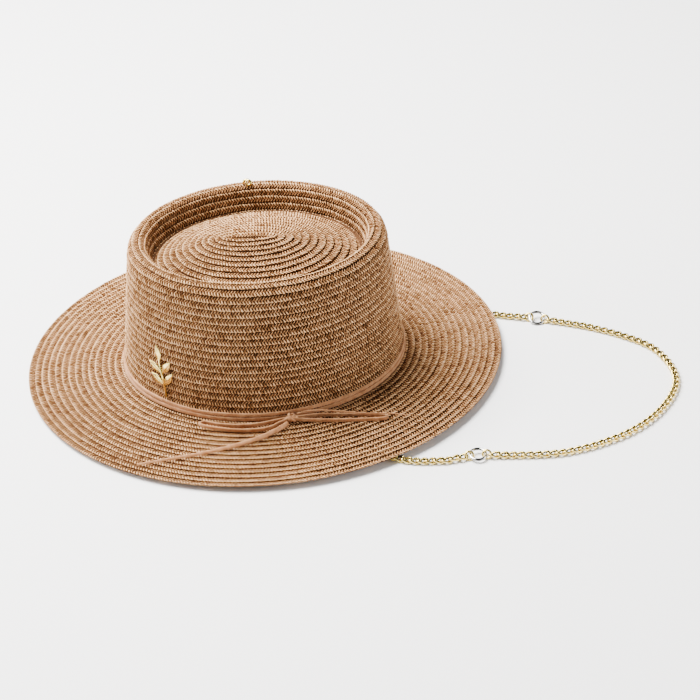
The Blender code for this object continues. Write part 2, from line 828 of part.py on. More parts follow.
def main():
    """Build the whole hat."""
    clear_scene()
    collection = new_collection("straw_boater_hat")
    cutters = new_collection("cutters")
    straw = new_material("straw", (0.56, 0.36, 0.21), 0.75)
    lace = new_material("lace", (0.52, 0.27, 0.14), 0.60)
    gold = new_material("gold", (0.80, 0.66, 0.36), 0.25, 1.0)
    silver = new_material("silver", (0.86, 0.85, 0.80), 0.15, 1.0)

    frame = hat_frame()
    hat = bpy.data.objects.new("hat_frame", None)
    collection.objects.link(hat)
    hat.matrix_world = frame

    make_crown(straw, collection, hat)
    make_brim(straw, collection, hat)
    make_bands(lace, collection, hat)
    make_knot(lace, collection, hat)
    make_bow(lace, collection, hat)
    make_sprig(gold, collection, cutters, hat)
    make_crest_staple(gold, collection, hat)
    make_tabs(gold, collection, hat)
    points, total = make_long_chain(gold, collection, cutters)
    tube_starts = make_rings(points, total, silver, gold, collection)
    make_short_chains(tube_starts, frame, gold, collection)


main()
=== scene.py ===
# %% [markdown]
# # A straw boater hat and its chain
# The hat is sewn from one long plait of paper straw, wound round and round. A suede lace
# is tied round its crown, and a curb chain lies beside it. The frame gives every piece its
# place and size. This script dresses that frame piece by piece, and the camera comes first.

# %% Load the frame
import math

import bmesh
import bpy
import numpy as np
from mathutils import Matrix, Vector


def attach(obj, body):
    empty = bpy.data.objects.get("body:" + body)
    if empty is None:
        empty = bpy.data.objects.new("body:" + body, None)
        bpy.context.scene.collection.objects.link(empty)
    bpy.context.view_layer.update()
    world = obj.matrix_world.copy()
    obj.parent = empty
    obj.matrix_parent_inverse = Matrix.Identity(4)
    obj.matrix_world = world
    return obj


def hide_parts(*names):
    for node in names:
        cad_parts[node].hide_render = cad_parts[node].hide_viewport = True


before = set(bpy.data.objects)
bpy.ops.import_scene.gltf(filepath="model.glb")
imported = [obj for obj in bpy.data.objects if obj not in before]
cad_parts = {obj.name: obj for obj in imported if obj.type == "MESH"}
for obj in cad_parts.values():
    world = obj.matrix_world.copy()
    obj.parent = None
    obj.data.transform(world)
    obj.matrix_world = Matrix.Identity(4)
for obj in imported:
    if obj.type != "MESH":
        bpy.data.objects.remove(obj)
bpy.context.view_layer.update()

# %% [markdown]
# The hat doesn't lie quite level: one side of its brim rests on the chain. All of its own
# pieces are therefore worked out in the hat's own axes, whose height 0 is the top of the
# brim at the crown's foot, and one matrix sets them down where the frame has them. The soft
# crown has sagged a little to one side, which a second matrix with a slight shear gives.

# %% The hat's own axes
HAT_CENTRE = Vector((-0.05989594, 0.0, 0.00538873))
HAT_UP = Vector((-0.01068846, 0.00489888, 0.99993086))
HAT_TURN = math.radians(-3.0)
tilt = Vector((0, 0, 1)).rotation_difference(HAT_UP).to_matrix().to_4x4()
HAT = Matrix.Translation(HAT_CENTRE) @ tilt @ Matrix.Rotation(HAT_TURN, 4, "Z")
CROWN_SAG = 0.030
sag = Matrix.Identity(4)
sag[0][2] = CROWN_SAG
CROWN = HAT @ sag


def on_floor(place, height):
    """A place given from the hat's centre, at a height above the floor."""
    return Vector((place[0] + HAT_CENTRE.x, place[1], height))


print("hat centre", tuple(round(value, 4) for value in HAT_CENTRE))

# %% [markdown]
# The photograph looks down on the hat from the front with a long lens, and the picture is
# rolled a few degrees. The camera is set by the point that it looks at, its distance and
# its angle above the floor, which keeps each number easy to read and to change.

# %% Camera
LOOK_AT = Vector((0.0021, -0.0591, 0.0406))
CAMERA_DISTANCE = 1.30
CAMERA_ELEVATION = math.radians(34.5)
CAMERA_ROLL = math.radians(3.6)
PICTURE_WIDTH = 700
FOCAL_PIXELS = 1879.63
SENSOR_WIDTH = 36.0

lens_data = bpy.data.cameras.new("camera")
lens_data.sensor_width = SENSOR_WIDTH
lens_data.lens = FOCAL_PIXELS / PICTURE_WIDTH * SENSOR_WIDTH
lens_data.clip_start = 0.05
lens_data.clip_end = 20.0
camera = bpy.data.objects.new("camera", lens_data)
bpy.context.scene.collection.objects.link(camera)
back_off = Vector((0, -math.cos(CAMERA_ELEVATION), math.sin(CAMERA_ELEVATION)))
camera.matrix_world = (
    Matrix.Translation(LOOK_AT + back_off * CAMERA_DISTANCE)
    @ Matrix.Rotation(math.pi / 2 - CAMERA_ELEVATION, 4, "X")
    @ Matrix.Rotation(-CAMERA_ROLL, 4, "Z")
)
bpy.context.scene.camera = camera
print("lens", round(lens_data.lens, 2), "mm")

# %% [markdown]
# Each finish is a small tree of shader nodes. A helper that adds one node, sets its values
# and joins its inputs keeps every tree short enough to read from top to bottom. A Mix node
# has sockets for every kind of data under the same names, so those of its colours are
# picked by number.

# %% Helpers for materials
RELIEF_DEPTH = 0.0002


def add_node(tree, kind, inputs=None, **settings):
    """A shader node with its settings, its values and the sockets that feed it."""
    node = tree.nodes.new(kind)
    for name, value in settings.items():
        setattr(node, name, value)
    for name, value in (inputs or {}).items():
        if isinstance(value, bpy.types.NodeSocket):
            tree.links.new(value, node.inputs[name])
        else:
            node.inputs[name].default_value = value
    return node


def colour_ramp(tree, factor, stops):
    """Colours at shares of a factor."""
    ramp = add_node(tree, "ShaderNodeValToRGB", {"Fac": factor})
    elements = ramp.color_ramp.elements
    while len(elements) < len(stops):
        elements.new(0.5)
    for element, (share, colour) in zip(elements, stops):
        element.position = share
        element.color = (*colour, 1.0)
    return ramp.outputs["Color"]


def new_material(name):
    """A Principled material, its node tree and its shader."""
    material = bpy.data.materials.new(name)
    material.use_nodes = True
    return material, material.node_tree, material.node_tree.nodes["Principled BSDF"]


def mix_colour(tree, share, one, other, blend="MIX"):
    """One colour blended into another by a share."""
    inputs = {0: share, 6: one, 7: other}
    node = add_node(tree, "ShaderNodeMix", inputs, data_type="RGBA", blend_type=blend)
    return node.outputs[2]


def noise(tree, place, scale, detail, roughness=0.5):
    """Soft random greys at a place."""
    return add_node(tree, "ShaderNodeTexNoise", {
        "Vector": place, "Scale": scale, "Detail": detail, "Roughness": roughness,
    }).outputs["Fac"]


def relief(tree, shader, height, strength):
    """A very low relief for a shader, from greys."""
    bump = add_node(tree, "ShaderNodeBump", {
        "Height": height, "Strength": strength, "Distance": RELIEF_DEPTH,
    })
    tree.links.new(bump.outputs["Normal"], shader.inputs["Normal"])


def set_sockets(shader, values):
    """Numbers that are the same all over a piece, set on the shader's own sockets."""
    for name, value in values.items():
        shader.inputs[name].default_value = value


print("material helpers ready")

# %% [markdown]
# Most pieces start as a bmesh, and the laces and staples as curves. All go the same way
# into the scene: a piece gets its finish and rides on the root body, and the nodes of the
# frame that it stands for are hidden. Small shapes that repeat are added to one bmesh as
# moved copies.

# %% Helpers for pieces
WELD_DISTANCE = 0.000002


def freed_mesh(name, bm):
    """A mesh from a bmesh, which is freed."""
    mesh = bpy.data.meshes.new(name)
    bm.to_mesh(mesh)
    bm.free()
    return mesh


def mesh_piece(name, bm, smooth=True):
    """An object from a bmesh."""
    mesh = freed_mesh(name, bm)
    if smooth:
        mesh.shade_smooth()
    return bpy.data.objects.new(name, mesh)


def dress(item, material, replaced=()):
    """Give a piece its material and its body, and hide the frame's nodes that it stands for."""
    bpy.context.scene.collection.objects.link(item)
    item.data.materials.append(material)
    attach(item, "root")
    if replaced:
        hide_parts(*replaced)
    return item


def add_copy(bm, mesh, placing):
    """A moved copy of a small mesh, added to a bmesh."""
    copy = mesh.copy()
    copy.transform(placing)
    bm.from_mesh(copy)
    bpy.data.meshes.remove(copy)


def close_seams(bm):
    """Merge the doubles where a folded grid meets itself, and turn its faces outwards."""
    bmesh.ops.remove_doubles(bm, verts=bm.verts, dist=WELD_DISTANCE)
    bmesh.ops.recalc_face_normals(bm, faces=bm.faces)


def thicken(item, thickness):
    """Give a thin sheet its wall, half to each side."""
    wall = item.modifiers.new("thickness", "SOLIDIFY")
    wall.thickness = thickness
    wall.offset = 0.0


print("piece helpers ready")

# %% [markdown]
# The lace is soft tan suede, so it has no gloss but a fine nap. Two noises make it: a
# broad one that shades the colour where the nap lies another way, and a very fine one that
# both flecks the colour and lifts the surface. A little sheen lights its edges.

# %% Suede finish
suede, tree, shader = new_material("suede")
place = add_node(tree, "ShaderNodeTexCoord").outputs["Object"]
nap = noise(tree, place, 260.0, 4.0, 0.6)
fibres = noise(tree, place, 2600.0, 3.0, 0.7)
blotches = colour_ramp(tree, nap, (
    (0.30, (0.40, 0.175, 0.070)), (0.52, (0.53, 0.260, 0.115)), (0.72, (0.64, 0.345, 0.165)),
))
flecks = colour_ramp(tree, fibres, ((0.35, (0.72, 0.70, 0.68)), (0.65, (1, 1, 1))))
tree.links.new(mix_colour(tree, 1.0, blotches, flecks, "MULTIPLY"), shader.inputs["Base Color"])
relief(tree, shader, fibres, 0.5)
set_sockets(shader, {
    "Roughness": 0.85, "Specular IOR Level": 0.25, "Sheen Weight": 0.10, "Sheen Roughness": 0.5,
})
print("material", suede.name)

# %% [markdown]
# The straw oval has one rule: an oval of mean radius r is 7 mm longer than r and 7 mm
# narrower, each way. Every row of plait, the lace round the crown and the trims use it, so
# they all nest. The wall of the crown leans in evenly as it rises.

# %% The hat's oval
OVAL = 0.0070
STRAW = 0.0022
FOOT_RADIUS = 0.0946
BRIM_RADIUS = 0.1651
BRIM_DROOP = 0.0012
BRIM_FLAT_EDGE = 0.0120
CREST_RADIUS = 0.0766
CREST_HEIGHT = 0.1002
SHOULDER_WIDTH = 0.0080
SHOULDER_HEIGHT = 0.0120
WALL_HEIGHT = CREST_HEIGHT - SHOULDER_HEIGHT
WALL_SLOPE = (FOOT_RADIUS - CREST_RADIUS - SHOULDER_WIDTH) / WALL_HEIGHT
HALVINGS = 40


def oval_point(mean_radius, angle, height=0.0):
    """Point of the oval with this mean radius."""
    across = (mean_radius + OVAL) * math.cos(angle)
    return Vector((across, (mean_radius - OVAL) * math.sin(angle), height))


def oval_normal(mean_radius, angle):
    """Level direction out of that oval."""
    along = (mean_radius - OVAL) * math.cos(angle)
    return Vector((along, (mean_radius + OVAL) * math.sin(angle), 0.0)).normalized()


def wall_radius(height):
    """Mean radius of the crown's outer face at a height."""
    return FOOT_RADIUS - WALL_SLOPE * height


def mean_radius_at(x, y):
    """Mean radius of the oval that passes through a place on the brim, found by halving."""
    low, high = 2 * OVAL, 2 * BRIM_RADIUS
    for _ in range(HALVINGS):
        middle = (low + high) / 2
        if (x / (middle + OVAL)) ** 2 + (y / (middle - OVAL)) ** 2 > 1.0:
            low = middle
        else:
            high = middle
    return low


def brim_top(mean_radius):
    """Height of the brim's top face: it droops evenly as far as its flat edge."""
    span = BRIM_RADIUS - FOOT_RADIUS - BRIM_FLAT_EDGE
    share = (mean_radius - FOOT_RADIUS) / span
    return -BRIM_DROOP * min(max(share, 0.0), 1.0)


print("wall leans", round(WALL_SLOPE, 4), "and is", WALL_HEIGHT * 1000, "mm high")

# %% [markdown]
# A soft thing that lies somewhere is drawn as a few chosen points and a smooth curve
# through them. The curve is then cut into even steps, which suits both lace and chain.

# %% Smooth routes
FINE_STEPS = 24


def curve_point(points, index, share):
    """Point between two neighbours of a smooth curve through all the points."""
    last = len(points) - 1
    before = points[max(index - 1, 0)]
    start = points[index]
    end = points[min(index + 1, last)]
    after = points[min(index + 2, last)]
    return 0.5 * (
        2 * start
        + (end - before) * share
        + (2 * before - 5 * start + 4 * end - after) * share ** 2
        + (3 * start - before - 3 * end + after) * share ** 3
    )


def smooth_route(points, spacing):
    """Points an even distance apart along a smooth curve through the chosen points."""
    fine = []
    for index in range(len(points) - 1):
        for step in range(FINE_STEPS):
            fine.append(curve_point(points, index, step / FINE_STEPS))
    fine.append(points[-1].copy())
    lengths = [0.0]
    for start, end in zip(fine, fine[1:]):
        lengths.append(lengths[-1] + (end - start).length)
    count = max(2, round(lengths[-1] / spacing))
    route = []
    cursor = 0
    for step in range(count + 1):
        target = lengths[-1] * step / count
        while cursor < len(lengths) - 2 and lengths[cursor + 1] < target:
            cursor += 1
        share = (target - lengths[cursor]) / (lengths[cursor + 1] - lengths[cursor])
        route.append(fine[cursor].lerp(fine[cursor + 1], share))
    return route


def route_length(points):
    """Length along the points."""
    return sum((end - start).length for start, end in zip(points, points[1:]))


print("routes ready")

# %% [markdown]
# The bow's two ends are lengths of flat lace that leave the knot and lie free. On the real
# hat the left one crosses the brim and the right one springs up over its loop. Each is a
# curve with a flat section that follows a smooth route and tapers to its cut tip.

# %% The bow's free ends
GAP = 0.0003
LACE_WIDTH = 0.0030
LACE_THICKNESS = 0.0012
LACE_REST = 0.0011
TAIL_STEP = 0.0042
TAIL_LEAN = math.radians(38.0)
TAPER_SHARE = 0.85
TAIL_LEFT_ROUTE = (
    (0.0215, -0.0951, 0.0014),
    (0.0170, -0.0987, 0.0006),
    (0.0120, -0.1028, 0.0006),
    (0.0048, -0.1082, 0.0008),
    (-0.0052, -0.1133, 0.0009),
    (-0.0151, -0.1176, 0.0009),
    (-0.0284, -0.1218, 0.0009),
    (-0.0424, -0.1253, 0.0008),
    (-0.0604, -0.1288, 0.0007),
    (-0.0790, -0.1326, 0.0004),
)
TAIL_RIGHT_ROUTE = (
    (0.0280, -0.0912, 0.0062),
    (0.0360, -0.0890, 0.0066),
    (0.0460, -0.0881, 0.0060),
    (0.0620, -0.0884, 0.0042),
    (0.0740, -0.0893, 0.0033),
    (0.0840, -0.0899, 0.0032),
    (0.0915, -0.0902, 0.0031),
    (0.0975, -0.0902, 0.0022),
    (0.1035, -0.0900, 0.0010),
)


def on_brim(table, spacing):
    """Route of a lace that lies on the brim, from its places and rises, in the room."""
    points = []
    for x, y, rise in table:
        rest = brim_top(mean_radius_at(x, y)) + GAP + LACE_REST
        points.append(Vector((x, y, rest + rise)))
    return [HAT @ point for point in smooth_route(points, spacing)]


def lace_curve(name, points, lean=0.0, widths=None, cyclic=False):
    """A flat lace along the points. A lean of 0 stands it on its edge."""
    curve = bpy.data.curves.new(name, "CURVE")
    curve.dimensions = "3D"
    curve.twist_mode = "Z_UP"
    curve.bevel_depth = LACE_THICKNESS / 2
    curve.bevel_resolution = 2
    curve.extrude = LACE_WIDTH / 2 - LACE_THICKNESS / 2
    curve.use_fill_caps = not cyclic
    spline = curve.splines.new("POLY")
    spline.points.add(len(points) - 1)
    spline.use_cyclic_u = cyclic
    spline.use_smooth = True
    for index, (target, point) in enumerate(zip(spline.points, points)):
        target.co = (*point, 1.0)
        target.tilt = lean
        target.radius = widths[index] if widths else 1.0
    return bpy.data.objects.new(name, curve)


def tapered(count, first, tip):
    """Widths along a lace that narrows over its last share, as shares of its full width."""
    widths = []
    for index in range(count):
        along = index / (count - 1)
        cut = min(max((along - (1 - TAPER_SHARE)) / TAPER_SHARE, 0.0), 1.0)
        widths.append(first + (tip - first) * cut)
    return widths


for name, table, first_width, tip_width in (
    ("bow_end_left", TAIL_LEFT_ROUTE, 1.05, 0.48),
    ("bow_end_right", TAIL_RIGHT_ROUTE, 0.70, 0.45),
):
    points = on_brim(table, TAIL_STEP)
    widths = tapered(len(points), first_width, tip_width)
    tail = lace_curve(name, points, TAIL_LEAN, widths)
    node = name.replace("bow_end", "bow_tail")
    dress(tail, suede, (node,))

# %% [markdown]
# The straw is matt paper rolled into thin strands. Three things make it look so: painted
# shade darkens the strand on its sides and where it dives under its neighbour, every stitch
# has a tone of its own, and fine creases run along it. The painted light and the tone come
# as attributes of the mesh and the creases follow its own map, so the pattern stays with
# the plait.

# %% Straw finish
straw, tree, shader = new_material("straw")
painted_light = add_node(tree, "ShaderNodeAttribute", attribute_name="painted_light").outputs["Fac"]
tone = add_node(tree, "ShaderNodeAttribute", attribute_name="tone").outputs["Fac"]
along = add_node(tree, "ShaderNodeUVMap", uv_map="Strand").outputs["UV"]
stretched = add_node(tree, "ShaderNodeMapping", {"Vector": along, "Scale": (2.2, 9.0, 1.0)})
creases = noise(tree, stretched.outputs["Vector"], 1.0, 5.0, 0.65)
# Painted shade and light: near black where a strand dives or is tucked, tan on its ridge.
painted_light_colour = colour_ramp(tree, painted_light, (
    (0.0, (0.020, 0.007, 0.002)), (0.40, (0.150, 0.062, 0.021)),
    (0.60, (0.770, 0.430, 0.205)), (1.0, (0.950, 0.670, 0.375)),
))
tone_colour = colour_ramp(tree, tone, (
    (0.0, (0.30, 0.225, 0.155)), (0.45, (0.84, 0.78, 0.71)), (1.0, (1.0, 1.0, 1.0)),
))
crease_colour = colour_ramp(tree, creases, ((0.32, (0.66, 0.58, 0.50)), (0.56, (1, 1, 1))))
toned = mix_colour(tree, 1.0, painted_light_colour, tone_colour, "MULTIPLY")
straw_colour = mix_colour(tree, 1.0, toned, crease_colour, "MULTIPLY")
tree.links.new(straw_colour, shader.inputs["Base Color"])
relief(tree, shader, creases, 0.6)
set_sockets(shader, {"Roughness": 0.60, "Specular IOR Level": 0.05})
print("material", straw.name)

# %% [markdown]
# The sewn rows follow the hat's section: in from the brim's edge, up the wall, over the
# rounded shoulder, down into the sunk tip and over its low dome. The section is drawn once
# as a line of (mean radius, height) points and cut fine, with the way out of the straw at
# every point, so a row can be laid at any distance along it. Each row leans, because one of
# its edges laps over the row before. Where the straw faces inwards, the rows lie flatter.

# %% The hat's section
LIP_RADIUS = 0.0055
RECESS_DEPTH = 0.0195
RECESS_LEAN = 0.0035
TIP_RADIUS = CREST_RADIUS - LIP_RADIUS - RECESS_LEAN
TIP_RISE = 0.0150
TIP_POWER = 1.6
CORE_RADIUS = 0.0072
CORE_SHIFT = 0.0065
SHOULDER_STEPS = 12
LIP_STEPS = 8
TIP_STEPS = 20
SECTION_STEP = 0.0002
SOFTENED_STEPS = 7
BRIM_INSET = 0.0008
CROWN_INSET = 0.0006
ROW_TILT = 0.27
RECESS_TILT = 0.08
RECESS_SHARPNESS = 1.5


def cut_fine(corners, inset):
    """A section's points an even small step apart, with distances, normals and row tilts."""
    corners = np.array(corners)
    runs = np.hypot(*np.diff(corners, axis=0).T)
    reach = np.concatenate(([0.0], np.cumsum(runs)))
    steps = np.arange(0.0, reach[-1], SECTION_STEP)
    points = np.stack([np.interp(steps, reach, corners[:, axis]) for axis in (0, 1)], axis=1)
    slopes = np.gradient(points, axis=0)
    window = 2 * SOFTENED_STEPS + 1
    for axis in (0, 1):
        padded = np.pad(slopes[:, axis], SOFTENED_STEPS, mode="edge")
        slopes[:, axis] = np.convolve(padded, np.ones(window) / window, mode="valid")
    slopes /= np.hypot(slopes[:, 0], slopes[:, 1])[:, None]
    normals = np.stack([slopes[:, 1], -slopes[:, 0]], axis=1)
    points -= normals * inset
    inward = np.clip(-RECESS_SHARPNESS * normals[:, 0], 0, 1)
    return {
        "steps": steps, "points": points, "normals": normals, "length": steps[-1],
        "tilts": ROW_TILT + (RECESS_TILT - ROW_TILT) * inward,
    }


def crown_corners():
    """Outer face of the crown from its foot to the core of its tip."""
    corners = [(FOOT_RADIUS, 0.0), (wall_radius(WALL_HEIGHT), WALL_HEIGHT)]
    for step in range(1, SHOULDER_STEPS + 1):
        angle = math.pi / 2 * step / SHOULDER_STEPS
        radius = CREST_RADIUS + SHOULDER_WIDTH * math.cos(angle)
        corners.append((radius, WALL_HEIGHT + SHOULDER_HEIGHT * math.sin(angle)))
    for step in range(1, LIP_STEPS + 1):
        angle = math.pi / 2 * step / LIP_STEPS
        radius = CREST_RADIUS - LIP_RADIUS * math.sin(angle)
        corners.append((radius, CREST_HEIGHT - LIP_RADIUS * (1 - math.cos(angle))))
    edge_height = CREST_HEIGHT - RECESS_DEPTH
    corners.append((TIP_RADIUS, edge_height))
    for step in range(1, TIP_STEPS + 1):
        share = 1 - step / TIP_STEPS
        radius = CORE_RADIUS + (TIP_RADIUS - CORE_RADIUS) * share
        corners.append((radius, edge_height + TIP_RISE * (1 - share ** TIP_POWER)))
    return corners


brim_section = cut_fine([
    (BRIM_RADIUS, -BRIM_DROOP),
    (BRIM_RADIUS - BRIM_FLAT_EDGE, -BRIM_DROOP),
    (FOOT_RADIUS, 0.0),
    (FOOT_RADIUS - STRAW, 0.0),
], BRIM_INSET)
crown_section = cut_fine(crown_corners(), CROWN_INSET)
print("brim section", round(brim_section["length"] * 1000, 1), "mm")
print("crown section", round(crown_section["length"] * 1000, 1), "mm")

# %% [markdown]
# Straw braid is plaited, here from three strands. Each strand swings from side to side and
# dives twice for every swing, and the three follow each other a third of a swing apart. A
# bump map could fake it, but only real strands throw the small dark gaps that make straw
# look like straw. No straw is quite even either, so two helpers draw slow waves round a row
# and a random value for each stitch. The other two step evenly round the oval and turn a
# place on the section into a place on the hat.

# %% The plait's measures and its unevenness
PLAIT_PERIOD = 0.0062
PLAIT_SWING = 0.00240
PLAIT_DIVE = 0.00040
FOLD_SHARPNESS = 0.92
STRAND_WIDTH = 0.00135
STRAND_THICKNESS = 0.00080
STEPS_PER_PERIOD = 8
STRAND_SIDES = 4
THINNEST = 0.80
THICKER = 0.40
STITCH_JITTER = 0.00022
OVAL_STEPS = 720
WAVE_WIDTH = 0.00030
WAVE_HEIGHT = 0.00015


def even_oval(mean_radius):
    """Angles round an oval and the distance travelled to each."""
    angles = np.linspace(0, 2 * np.pi, OVAL_STEPS + 1)
    x = (mean_radius + OVAL) * np.cos(angles)
    y = (mean_radius - OVAL) * np.sin(angles)
    runs = np.hypot(np.diff(x), np.diff(y))
    return angles, np.concatenate(([0.0], np.cumsum(runs)))


def wander(phases, around, size):
    """A slow unevenness round a closed row: a few waves, each half as long as the last."""
    total = np.zeros_like(around)
    for index, phase in enumerate(phases):
        total += np.sin(2 * np.pi * (3 * 2 ** index * around + phase)) / len(phases)
    return total * size


def per_stitch(random, around, count):
    """A random value for each stitch, eased from one to the next."""
    values = random.rand(count)
    closed = np.append(values, values[0])
    return np.interp(around * count, np.arange(count + 1), closed)


def place_on(section, distance, height, angle):
    """Places at distances along a section, heights out of it and angles round the oval."""
    steps = section["steps"]
    mean = np.interp(distance, steps, section["points"][:, 0])
    level = np.interp(distance, steps, section["points"][:, 1])
    mean = mean + height * np.interp(distance, steps, section["normals"][:, 0])
    level = level + height * np.interp(distance, steps, section["normals"][:, 1])
    off_centre = np.clip(1 - mean / TIP_RADIUS, 0, 1) * CORE_SHIFT
    x = (mean + OVAL) * np.cos(angle) - off_centre
    return np.stack([x, (mean - OVAL) * np.sin(angle), level], axis=1)


print("a strand has", STEPS_PER_PERIOD, "steps for each swing")

# %% [markdown]
# The finish reads two numbers at every point of a strand. The first is painted light: high
# on its ridge, and low on its sides and where it dives, which is painted shade. It falls off
# towards the edge of the row that is tucked under the next one, a painted shade, and the
# row's free edge gets a painted highlight that makes it paler and more even than the rest.
# The tone is drawn anew for every stitch.

# %% Shade of a strand
RIDGE_PAINTED_LIGHT = 0.62
DIVE_PAINTED_LIGHT = 0.38
SIDE_PAINTED_LIGHT = 0.22
TUCK_SHADE = 0.30
TUCK_START = 0.5
TUCK_MOST = 1.5
EDGE_GLEAM = 0.30
EDGE_START = 0.88
EDGE_SPAN = 0.20
STITCH_CONTRAST = 1.2


def shade_strand(around, section_angle, rise, across, row, random):
    """Painted light and tone of a strand's points, with a painted highlight on the free edge."""
    facing = np.sin(section_angle)
    ridge = RIDGE_PAINTED_LIGHT + DIVE_PAINTED_LIGHT * np.sign(facing) * rise / PLAIT_DIVE
    painted_light = np.where(np.abs(facing) > 0.5, ridge, SIDE_PAINTED_LIGHT)
    depth = across / PLAIT_SWING
    # Painted shade towards the tucked edge, and a painted highlight on the row's free edge.
    tucked = np.clip(depth + TUCK_START, 0, TUCK_MOST)
    edge_highlight = np.clip((-depth - EDGE_START) / EDGE_SPAN, 0, 1)
    painted_light = painted_light * (1 - TUCK_SHADE * tucked) + EDGE_GLEAM * edge_highlight
    tone = 0.5 + STITCH_CONTRAST * (per_stitch(random, around, 3 * row["periods"]) - 0.5)
    tone = np.clip(tone, 0, 1)
    return painted_light, tone + (1 - tone) * edge_highlight


print("lift is", RIDGE_PAINTED_LIGHT, "on a ridge and", SIDE_PAINTED_LIGHT, "on a side")

# %% [markdown]
# Each strand starts as a flat grid from bmesh, which is rolled into a thin section of four
# sides and laid along its row. Numpy moves thousands of points at once.

# %% One strand of the plait


def strand_path(around, row, strand):
    """How far a strand swings and rises round the row, and how steeply it crosses it."""
    swing = 2 * np.pi * (row["periods"] * around + strand / 3) + row["phase"]
    fold = np.arcsin(FOLD_SHARPNESS)
    across = PLAIT_SWING * np.arcsin(FOLD_SHARPNESS * np.sin(swing)) / fold
    slope = PLAIT_SWING * 2 * np.pi / PLAIT_PERIOD * np.cos(swing) * FOLD_SHARPNESS / fold
    slope /= np.sqrt(1 - (FOLD_SHARPNESS * np.sin(swing)) ** 2)
    return across, PLAIT_DIVE * np.sin(2 * swing), slope


def lay_strand(around, section_angle, row, strand, random):
    """Places, painted light and tone of a strand's points, from 0 to 1 round the row."""
    across, rise, slope = strand_path(around, row, strand)
    fullness = THINNEST + THICKER * per_stitch(random, around, 2 * row["periods"])
    across += STITCH_JITTER * (per_stitch(random, around, 3 * row["periods"]) - 0.5)
    stretch = np.hypot(1.0, slope)
    side = STRAND_WIDTH / 2 * fullness * np.cos(section_angle)
    up = STRAND_THICKNESS / 2 * fullness * np.sin(section_angle)
    travel = around * row["length"] - side * slope / stretch
    across += side / stretch
    height = rise + up - across * row["tilt"] + wander(row["phases"][:3], around, WAVE_HEIGHT)
    height += STITCH_JITTER * (per_stitch(random, around, 2 * row["periods"]) - 0.5)
    across += wander(row["phases"][3:], around, WAVE_WIDTH)
    angle = np.interp(travel % row["length"], row["reach"], row["angles"])
    places = place_on(row["section"], row["distance"] + across, height, angle)
    return places, *shade_strand(around, section_angle, rise, across, row, random)


print("a row has three strands,", 3 * STRAND_SIDES, "sides in all")

# %% [markdown]
# A piece of straw is a run of rows. The mesh of a piece also gets a second map, in which
# every strand is one long strip: it is there for whoever bakes the finish to a picture.

# %% Rows of plait
MAP_SCALE = 100
STRIP_MARGIN = 0.05


def plait_piece(name, section, distances, seat, seed):
    """Rows of plait at distances along a section, as one mesh."""
    random = np.random.RandomState(seed)
    bm = bmesh.new()
    painted_light_layer = bm.verts.layers.float.new("painted_light")
    tone_layer = bm.verts.layers.float.new("tone")
    strip_layer = bm.verts.layers.float.new("strip")
    bm.loops.layers.uv.new("Strand")
    lengths = []
    for distance in distances:
        mean = np.interp(distance, section["steps"], section["points"][:, 0])
        angles, reach = even_oval(mean)
        row = {
            "section": section, "distance": distance, "angles": angles, "reach": reach,
            "length": reach[-1], "periods": max(4, round(reach[-1] / PLAIT_PERIOD)),
            "phase": 2 * np.pi * random.rand(), "phases": random.rand(6),
            "tilt": np.interp(distance, section["steps"], section["tilts"]),
        }
        for strand in range(3):
            made = bmesh.ops.create_grid(
                bm, x_segments=STEPS_PER_PERIOD * row["periods"], y_segments=STRAND_SIDES,
                size=1.0, calc_uvs=True,
            )
            flat = np.array([vert.co for vert in made["verts"]])
            around = (flat[:, 0] + 1) / 2
            section_angle = np.pi * (flat[:, 1] + 1)
            places, painted_light, tone = lay_strand(around, section_angle, row, strand, random)
            for vert, place, high, shade in zip(made["verts"], places, painted_light, tone):
                vert.co = place
                vert[painted_light_layer] = high
                vert[tone_layer] = shade
                vert[strip_layer] = len(lengths)
            lengths.append(row["length"])
    close_seams(bm)
    piece = mesh_piece(name, bm)
    piece.data.transform(seat)
    map_strips(piece.data, np.array(lengths))
    print(name, "has", len(distances), "rows and", 2 * len(piece.data.polygons), "triangles")
    return piece


def map_strips(mesh, lengths):
    """Stretch the grid's map to the strand's real length, and lay strips side by side."""
    grid_map = mesh.uv_layers["Strand"]
    values = np.empty(2 * len(mesh.loops), dtype=np.float32)
    grid_map.data.foreach_get("uv", values)
    corners = np.empty(len(mesh.loops), dtype=np.int32)
    mesh.loops.foreach_get("vertex_index", corners)
    strips = np.empty(len(mesh.vertices), dtype=np.float32)
    mesh.attributes["strip"].data.foreach_get("value", strips)
    strip = np.rint(strips[corners]).astype(int)
    along, round_it = values[0::2].copy(), values[1::2].copy()
    values[0::2] = along * lengths[strip] * MAP_SCALE
    values[1::2] = round_it + strip
    grid_map.data.foreach_set("uv", values)
    bake_map = mesh.uv_layers.new(name="OFBake")
    values[0::2] = along
    inside = STRIP_MARGIN + (1 - 2 * STRIP_MARGIN) * round_it
    values[1::2] = (strip + inside) / len(lengths)
    bake_map.data.foreach_set("uv", values)
    mesh.attributes.remove(mesh.attributes["strip"])


print("maps ready")

# %% [markdown]
# The brim takes fifteen rows and the crown thirty-six. They are sewn up as seven pieces, to
# keep each mesh small, and the length of a piece's name starts its own random draws.

